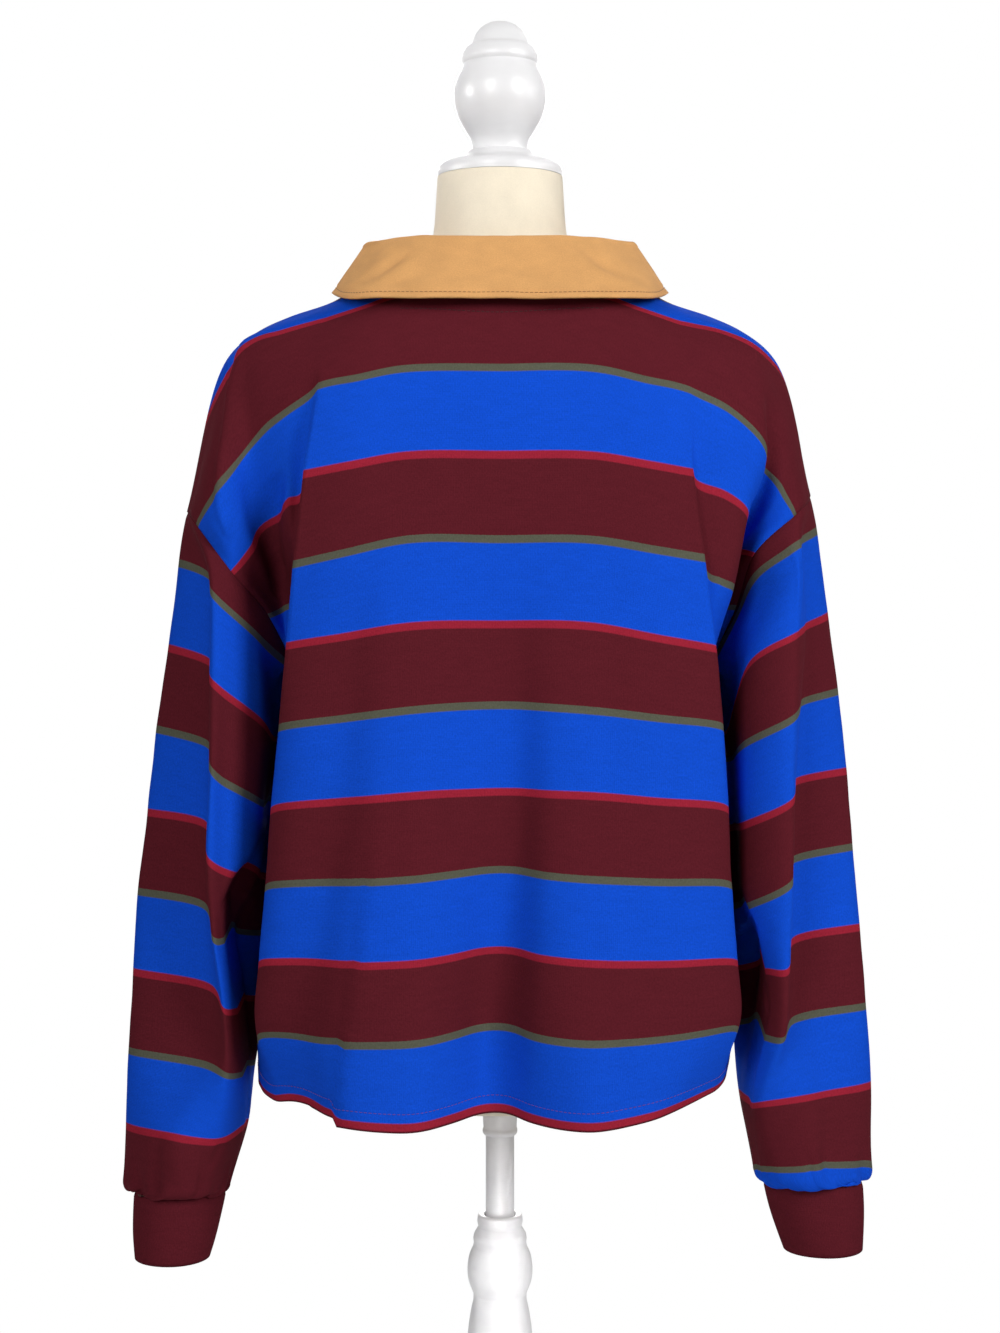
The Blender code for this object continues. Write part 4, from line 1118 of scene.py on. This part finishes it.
def collar_section(neck, fold_at, edge):
    """Points of the collar's outer side: up the stand, over the fold and down the fall."""
    up, fall = unit(fold_at - neck), unit(edge - fold_at)
    lean = unit(fall - up * (fall @ up))
    centre = fold_at - up * FOLD_RADIUS
    points = [neck + (fold_at - neck) * part for part in STAND_PARTS[:-1]]
    for turn in np.radians(FOLD_TURNS):
        points.append(centre + FOLD_RADIUS * (lean * (1 - math.cos(turn)) + up * math.sin(turn)))
    start = points[-1]
    points += [start + (edge - start) * part for part in np.linspace(0, 1, FALL_STEPS)[1:]]
    return np.array(points)


def neck_seam():
    """(places along, points) of the panels' neck seam, from the right of the placket round to its left."""
    neck_at = TRACK_AT[2]
    columns = stations(np.array(TRACK_AT, float), TRACK_STEPS)
    columns = columns[columns <= neck_at]
    back = panel_point(False, np.zeros(1), columns * MM)[0]
    front = panel_point(True, np.zeros(1), -columns[1:-1] * MM)[0]
    half = np.concatenate([back, front[::-1]])
    along = np.concatenate([columns, 2 * neck_at - columns[-2:0:-1]])
    return np.concatenate([-along[:0:-1], along]), np.concatenate([half[:0:-1] * (-1, 1, 1), half])


def build_collar(twill):
    along, neck = neck_seam()
    knots = np.array([row[0] for row in COLLAR], float)
    rows = np.array([row[1:] for row in COLLAR], float) * MM
    knots = np.concatenate([-knots[:0:-1], knots])
    rows = np.concatenate([rows[:0:-1] * (-1, 1, 1), rows])
    sections = [collar_section(*row) for row in zip(neck, *np.swapaxes(spline(knots, rows, along), 0, 1))]
    grid = np.swapaxes(np.array(sections), 0, 1)
    steps = np.linalg.norm(np.diff(grid, axis=0), axis=-1).mean(axis=1)
    down = np.concatenate([[0], np.cumsum(steps)])
    cloth = Cloth(grid, along * MM, down[:, None])
    edge = cloth.from_row(-1)
    (broad, broad_size), (fine, fine_size) = COLLAR_WAVES
    above_seam = np.clip(down / COLLAR_STILL, 0, 1)[:, None]
    cloth.out += broad * soft_noise(cloth.grid, broad_size, 31) * above_seam
    cloth.out += fine * soft_noise(cloth.grid, fine_size, 32)
    cloth.out -= COLLAR_PRESS[0] * bell(edge - COLLAR_STITCH, COLLAR_PRESS[1])
    for row in COLLAR_FOLDS:
        fold(cloth, *row)
    cloth.settle()
    return cloth, dress(shell("collar_cloth", cloth, COLLAR_WALL, twill), "collar")


COLLAR_FOLDS = (
    # route of (u along the neck seam, v up the stand and down the fall), height, widths
    (((62, 50), (76, 66), (88, 86)), -2.6, 5, 7),
    (((54, 48), (60, 66), (74, 84)), 2.2, 5, 5),
    (((36, 66), (54, 78), (78, 92)), -1.4, 4, 5),
    (((-60, 48), (-68, 64), (-84, 80)), -2.4, 6, 5),
    (((-48, 50), (-56, 68), (-72, 88)), 2.0, 5, 6),
    (((-76, 56), (-88, 74), (-92, 90)), -1.8, 4, 5),
    (((-10, 56), (10, 72), (34, 80)), -0.8, 6, 6),
)


def build_placket(front, twill):
    """A strip laid on the front's settled cloth."""
    across = np.linspace(-PLACKET_HALF, PLACKET_HALF, 15)
    centre = np.argmin(np.abs(front.u[0]))
    top = np.interp(PLACKET_FROM * ROW_STEPS, np.arange(len(front.v)), front.v[:, centre])
    down = np.linspace(top, (PLACKET_TO - 2) * COURSE, 90)
    grid = np.array([on_cloth(front, across, np.full(len(across), v))[0] for v in down])
    cloth = Cloth(grid[:, ::-1], across[::-1], down[:, None])
    side = np.minimum(cloth.from_column(0), cloth.from_column(-1))
    depth, place, width = PLACKET_GROOVE
    cloth.out += WALL + PLACKET_GAP - depth * bell(side - place, width)
    cloth.settle()
    return cloth, dress(shell("placket_cloth", cloth, WALL, twill), "placket")


# Profile of a button in shares of its radius and thickness, from its middle out
BUTTON_PROFILE = (
    (0, 0.55), (0.45, 0.55), (0.58, 0.62), (0.66, 0.9), (0.76, 1.0), (0.88, 0.97), (0.97, 0.75),
    (1.0, 0.45), (0.97, 0.12), (0.9, 0.0), (0, 0.0),
)


def build_button(index, course, placket, material, thread):
    centre = placket.grid.shape[1] // 2
    row = int(np.argmin(np.abs(placket.v[:, centre] - (course - 2) * COURSE)))
    base, out = placket.grid[row, centre], placket.normals[row, centre]
    side = unit(np.cross(out, (0, 0, 1)))
    up = np.cross(side, out)

    def spoke(turn):
        return side * np.cos(turn) + up * np.sin(turn)

    rim = spoke(turns(BUTTON_SIDES)[:, None])
    points = [
        base + out * (BUTTON_GAP + height * BUTTON_THICK) + rim * max(radius, 0.02) * BUTTON_RADIUS
        for radius, height in BUTTON_PROFILE
    ]
    faces = ring_faces(0, len(BUTTON_PROFILE), BUTTON_SIDES)
    button = add_mesh(f"button_{index}_face", np.concatenate(points), faces, material, 40)
    dress(button, f"button_{index}")
    # two crossing bars of thread through its four holes
    face = base + out * (BUTTON_GAP + BUTTON_PROFILE[0][1] * BUTTON_THICK)
    for number, turn in enumerate((45, 135), start=1):
        half = spoke(math.radians(turn)) * BUTTON_BAR
        route = np.array([face - half, face, face + half]), np.array([out] * 3)
        stitches(f"button_{index}_thread_{number}", route, thread, "twill", *BAR_STITCH)


def build_form(cover):
    rows = np.array(TORSO, float) * MM
    knots = np.arange(len(rows))
    turn = turns(FORM_SIDES, 0.5)
    rings = []
    for z, half_width, back, front in spline(knots, rows, stations(knots, [5] * (len(rows) - 1))):
        depth = np.where(np.sin(turn) > 0, back, front)
        rings.append(np.stack([half_width * np.cos(turn), depth * np.sin(turn), z + turn * 0], axis=1))
    last, height = rings[-1], rings[-1][0, 2]
    for share, drop in TORSO_FOOT_ROUND:
        rings.append(last * (share, share, 0) + (0, 0, height + (TORSO_FOOT * MM - height) * drop))
    faces = ring_faces(0, len(rings), FORM_SIDES)
    low, top = (len(rings) - 1) * FORM_SIDES, len(rings) * FORM_SIDES
    for step in range(FORM_SIDES):
        beside = (step + 1) % FORM_SIDES
        faces += [(top, step, beside), (low + beside, low + step, top + 1)]
    points = np.concatenate(rings + [[rings[0].mean(0)], [rings[-1].mean(0)]])
    dress(turn_out(add_mesh("form_torso_cover", points, faces, cover, 50)), "form_torso")


# Turned profiles from the top down: (radius, height) in mm, one tuple for each smooth run
FINIAL_RUNS = (
    ((0, 1607.9), (8.9, 1606.5), (15.8, 1602.4), (20.2, 1597), (22.3, 1592.2)),
    ((22.3, 1592.2), (22.9, 1590.7), (23.9, 1589.3)),
    ((23.9, 1589.3), (26.7, 1587.2), (29, 1583.9), (30.2, 1580), (30, 1576.5), (29.1, 1574.7)),
    ((29.1, 1574.7), (30.2, 1571.2), (33.2, 1565.3), (36, 1557), (36.7, 1548.7), (35.2, 1538.9),
     (31.1, 1528.2), (26.1, 1520.3), (23.2, 1515.4), (22.1, 1511), (21.8, 1507)),
    ((21.8, 1507), (0, 1507)),
)
CAP_RUNS = (
    ((0, 1506.6), (23.8, 1506.6), (25.7, 1506.2)),
    ((25.7, 1506.2), (27.3, 1504.6), (29.7, 1502.1), (33.7, 1499.9), (40.6, 1498)),
    ((40.6, 1498), (45, 1496.8), (48.1, 1494.6), (49.5, 1491.5), (49.5, 1486.4)),
    ((49.5, 1486.4), (0, 1486.4)),
)
POLE_COLLAR_RUNS = (
    ((11.9, 751.6), (14.4, 751.6)),
    ((14.4, 751.6), (14.2, 740), (13.4, 725)),
    ((13.4, 725), (14, 723.4), (13.9, 721), (12.9, 719.4)),
    ((12.9, 719.4), (11.9, 719.4)),
    ((11.9, 719.4), (11.9, 751.6)),
)
POLE_RUNS = (((0, 751.4), (11.5, 751.4)), ((11.5, 751.4), (11.5, 400)), ((11.5, 400), (0, 400)))
COLUMN_RUNS = (
    ((0, 320), (11.9, 320)),
    ((11.9, 320), (11.9, 652.4)),
    ((11.9, 652.4), (13.2, 653.8), (16.8, 653.8), (18, 652.6)),
    ((18, 652.6), (18.3, 647.7), (17.4, 644)),
    ((17.4, 644), (18.9, 641.5), (20.9, 638), (21.7, 634.3)),
    ((21.7, 634.3), (21.3, 630.6), (21.9, 627.5)),
    ((21.9, 627.5), (24.7, 620.9), (26.4, 610.1), (25.6, 600.3), (22.9, 592.5), (21.5, 589)),
    ((21.5, 589), (21.7, 583.8), (23, 577.7), (25.4, 563.2), (27, 542), (26.6, 514), (24.8, 480),
     (22, 430), (20, 365), (19, 300), (18.8, 240), (19.2, 230)),
    ((19.2, 230), (21.6, 226.5), (23.4, 222), (23, 218.6)),
    ((23, 218.6), (25, 216.4), (25.4, 213.6), (23.6, 210.6)),
    ((23.6, 210.6), (22, 206), (19.6, 199), (20.6, 188), (26, 163), (32, 138), (34, 120), (32, 100),
     (26.6, 84), (24, 76)),
    ((24, 76), (26, 71.6), (30, 68.4), (32.6, 63)),
    ((32.6, 63), (33.4, 58), (34, 52), (34, 46.4)),
    ((34, 46.4), (0, 46.4)),
)
BASE_RUNS = (
    ((0, 46), (39, 46), (42.4, 45), (44, 42.4)),
    ((44, 42.4), (45.4, 39.4), (50, 37.6), (90, 33.4), (150, 27.4), (170, 25)),
    ((170, 25), (176.4, 22.6), (179.4, 18), (180, 12), (178.6, 5), (175.6, 1), (174, 0)),
    ((174, 0), (0, 0)),
)
TURNED_SIDES = 96
TURNED = (
    # node, profile, body
    ("finial", FINIAL_RUNS, "form"),
    ("neck_cap", CAP_RUNS, "form"),
    ("pole_collar", POLE_COLLAR_RUNS, "form"),
    ("pole", POLE_RUNS, "form"),
    ("stand_column", COLUMN_RUNS, "stand"),
    ("stand_base", BASE_RUNS, "stand"),
)


def turned(node, runs, body, material):
    """A turned piece: each run of its profile is smooth, and the runs meet in edges."""
    profile = [runs[0][:1]]
    for run in runs:
        if len(run) > 2:
            run = np.array(run, float)
            knots = run_along(run)
            run = spline(knots, run, stations(knots, [4] * (len(run) - 1)))
        profile.append(run[1:])
    profile = np.concatenate(profile) * MM
    closed = np.allclose(profile[0], profile[-1])
    if closed:
        profile = profile[:-1]
    turn = turns(TURNED_SIDES)
    points, rings = [], []
    for radius, z in profile:
        count = 1 if radius < 1e-6 else TURNED_SIDES
        rings.append([len(points) + step % count for step in range(TURNED_SIDES + 1)])
        points += [(radius * math.cos(angle), radius * math.sin(angle), z) for angle in turn[:count]]
    faces = []
    for upper, lower in zip(rings if closed else rings[:-1], rings[1:] + rings[:1]):
        for quad in zip(upper[:-1], lower[:-1], lower[1:], upper[1:]):
            face = tuple(dict.fromkeys(quad))
            if len(face) > 2:
                faces.append(face)
    dress(turn_out(add_mesh(node + "_turned", points, faces, material, 28)), node, body)


# ---- stage

FLOOR_HALF = 12.0
FLOOR_GREY = (236, 236, 236)
FLOOR_FADE = (0.3, 1.5, 0.3, 1.0)  # distances from the stand, and the shares of white there


def build_floor():
    """A pale floor that passes into the white around it, so that no horizon shows."""
    finish = Finish("floor", 0.7, specular=0.1)
    place = finish.own_space()
    finish.grained(finish.plain(FLOOR_GREY), place, FLOOR_GRAINS)
    away = finish.node("ShaderNodeVectorMath", operation="LENGTH")
    finish.feed(away.inputs[0], place)
    share = finish.spread(away.outputs["Value"], FLOOR_FADE, interpolation_type="SMOOTHSTEP")
    path = finish.node("ShaderNodeLightPath")
    mix = finish.node("ShaderNodeMixShader")
    finish.feed(mix.inputs[0], finish.math("MULTIPLY", share, path.outputs["Is Camera Ray"]))
    finish.feed(mix.inputs[1], finish.shader.outputs[0])
    finish.feed(mix.inputs[2], finish.node("ShaderNodeEmission").outputs[0])
    finish.feed(finish.tree.nodes["Material Output"].inputs["Surface"], mix.outputs[0])
    corners = [(x * FLOOR_HALF, y * FLOOR_HALF, 0) for x, y in ((-1, -1), (1, -1), (1, 1), (-1, 1))]
    add_mesh("floor", corners, [(0, 1, 2, 3)], finish.material)


def add_light(name, place, aim, size, power, spread):
    light = bpy.data.lights.new(name, "AREA")
    light.shape = "RECTANGLE"
    light.size, light.size_y = size
    light.energy = power
    light.spread = math.radians(spread)
    obj = add_object(name, light)
    obj.location = place
    obj.rotation_euler = (Vector(aim) - Vector(place)).to_track_quat("-Z", "Y").to_euler()


def build_light():
    world = bpy.data.worlds.new("studio")
    bpy.context.scene.world = world
    world.use_nodes = True
    nodes, link = world.node_tree.nodes, world.node_tree.links.new
    light, seen = nodes["Background"], nodes.new("ShaderNodeBackground")
    for node, strength in ((light, AMBIENT), (seen, 1.0)):
        node.inputs["Color"].default_value = (1, 1, 1, 1)
        node.inputs["Strength"].default_value = strength
    path, mix = nodes.new("ShaderNodeLightPath"), nodes.new("ShaderNodeMixShader")
    bright = nodes.new("ShaderNodeMath")  # the camera and the gloss see white all round
    bright.operation = "MAXIMUM"
    link(path.outputs["Is Camera Ray"], bright.inputs[0])
    link(path.outputs["Is Glossy Ray"], bright.inputs[1])
    for node, socket in zip((bright, light, seen), mix.inputs):
        link(node.outputs[0], socket)
    link(mix.outputs[0], nodes["World Output"].inputs["Surface"])
    for row in LIGHTS:
        add_light(*row)


AMBIENT = 0.12
LIGHTS = (
    # name, place, aim, size, power, spread
    ("key_left", (1.05, 2.45, 2.3), (0, 0, 1.25), (0.9, 1.3), 36, 180),
    ("key_right", (-1.95, 1.9, 2.3), (0, 0, 1.25), (0.9, 1.3), 56, 180),
    ("rim_left", (1.8, 0.3, 1.8), (0, 0, 1.54), (0.3, 0.4), 0.2, 16),
    ("rim_right", (-1.8, 0.3, 1.8), (0, 0, 1.54), (0.3, 0.4), 0.08, 16),
    ("stand_fill", (0, 1.3, 0.2), (0, 0, 0.6), (0.08, 0.08), 0.07, 14),
    ("front_fill", (0, -3.0, 1.8), (0, 0, 1.1), (1.8, 1.8), 56, 180),
)


def build_camera():
    camera = bpy.data.cameras.new("camera")
    camera.lens, camera.sensor_width = LENS, SENSOR
    obj = add_object("camera", camera)
    obj.location = EYE
    obj.rotation_euler = Euler((math.pi / 2 - PITCH, 0, math.pi))
    bpy.context.scene.camera = obj
    bpy.context.scene.view_settings.view_transform = "Standard"


def main():
    build_camera()
    build_light()
    build_floor()
    jersey, rib, twill = jersey_finish(), rib_finish(), twill_finish()
    pieces = build_shirt(jersey)
    for side in ("left", "right"):
        pieces[f"cuff_{side}"] = build_cuff(side, rib)
    pieces["collar"] = build_collar(twill)
    pieces["placket"] = build_placket(pieces["front_panel"][0], twill)
    button, tan_thread = solid_finish("button"), solid_finish("tan_thread")
    for index, course in enumerate(BUTTON_AT, start=1):
        build_button(index, course, pieces["placket"][0], button, tan_thread)
    build_form(solid_finish("form_cover"))
    paint = solid_finish("painted_wood")
    for row in TURNED:
        turned(*row, paint)
    sew(pieces, tan_thread)


def edge_route(cloth, above):
    """Points and normals of an open cloth's rows at a height above its last row."""
    away = cloth.from_row(-1)
    points, normals = [], []
    for column in range(away.shape[1]):
        row = np.interp(-above, -away[:, column], np.arange(len(away)))
        points.append(at_row(cloth, column, row)[0])
        normals.append(cloth.normals[int(min(row, len(away) - 2)), column])
    return np.array(points), np.array(normals)


# The stitches of the neck's facing: v at the centre back, how they curve, and half their width
NECK_STITCH_V, NECK_STITCH_BEND, NECK_STITCH_HALF = -0.042, 0.9, 0.078


def sew(pieces, tan_thread):
    """The rows of stitches that show."""
    hem_thread = solid_finish("hem_thread")
    for name in ("back", "front"):
        route = edge_route(pieces[f"{name}_panel"][0], HEM_STITCH)
        stitches(f"hem_{name}_stitches", route, hem_thread, "jersey")
    stitches("collar_stitches", edge_route(pieces["collar"][0], COLLAR_STITCH), tan_thread, "twill")
    u = np.linspace(-NECK_STITCH_HALF, NECK_STITCH_HALF, 60)
    route = on_cloth(pieces["back_panel"][0], u, NECK_STITCH_V - NECK_STITCH_BEND * u**2)
    stitches("neck_facing_stitches", route, solid_finish("maroon_thread"), "jersey")


main()
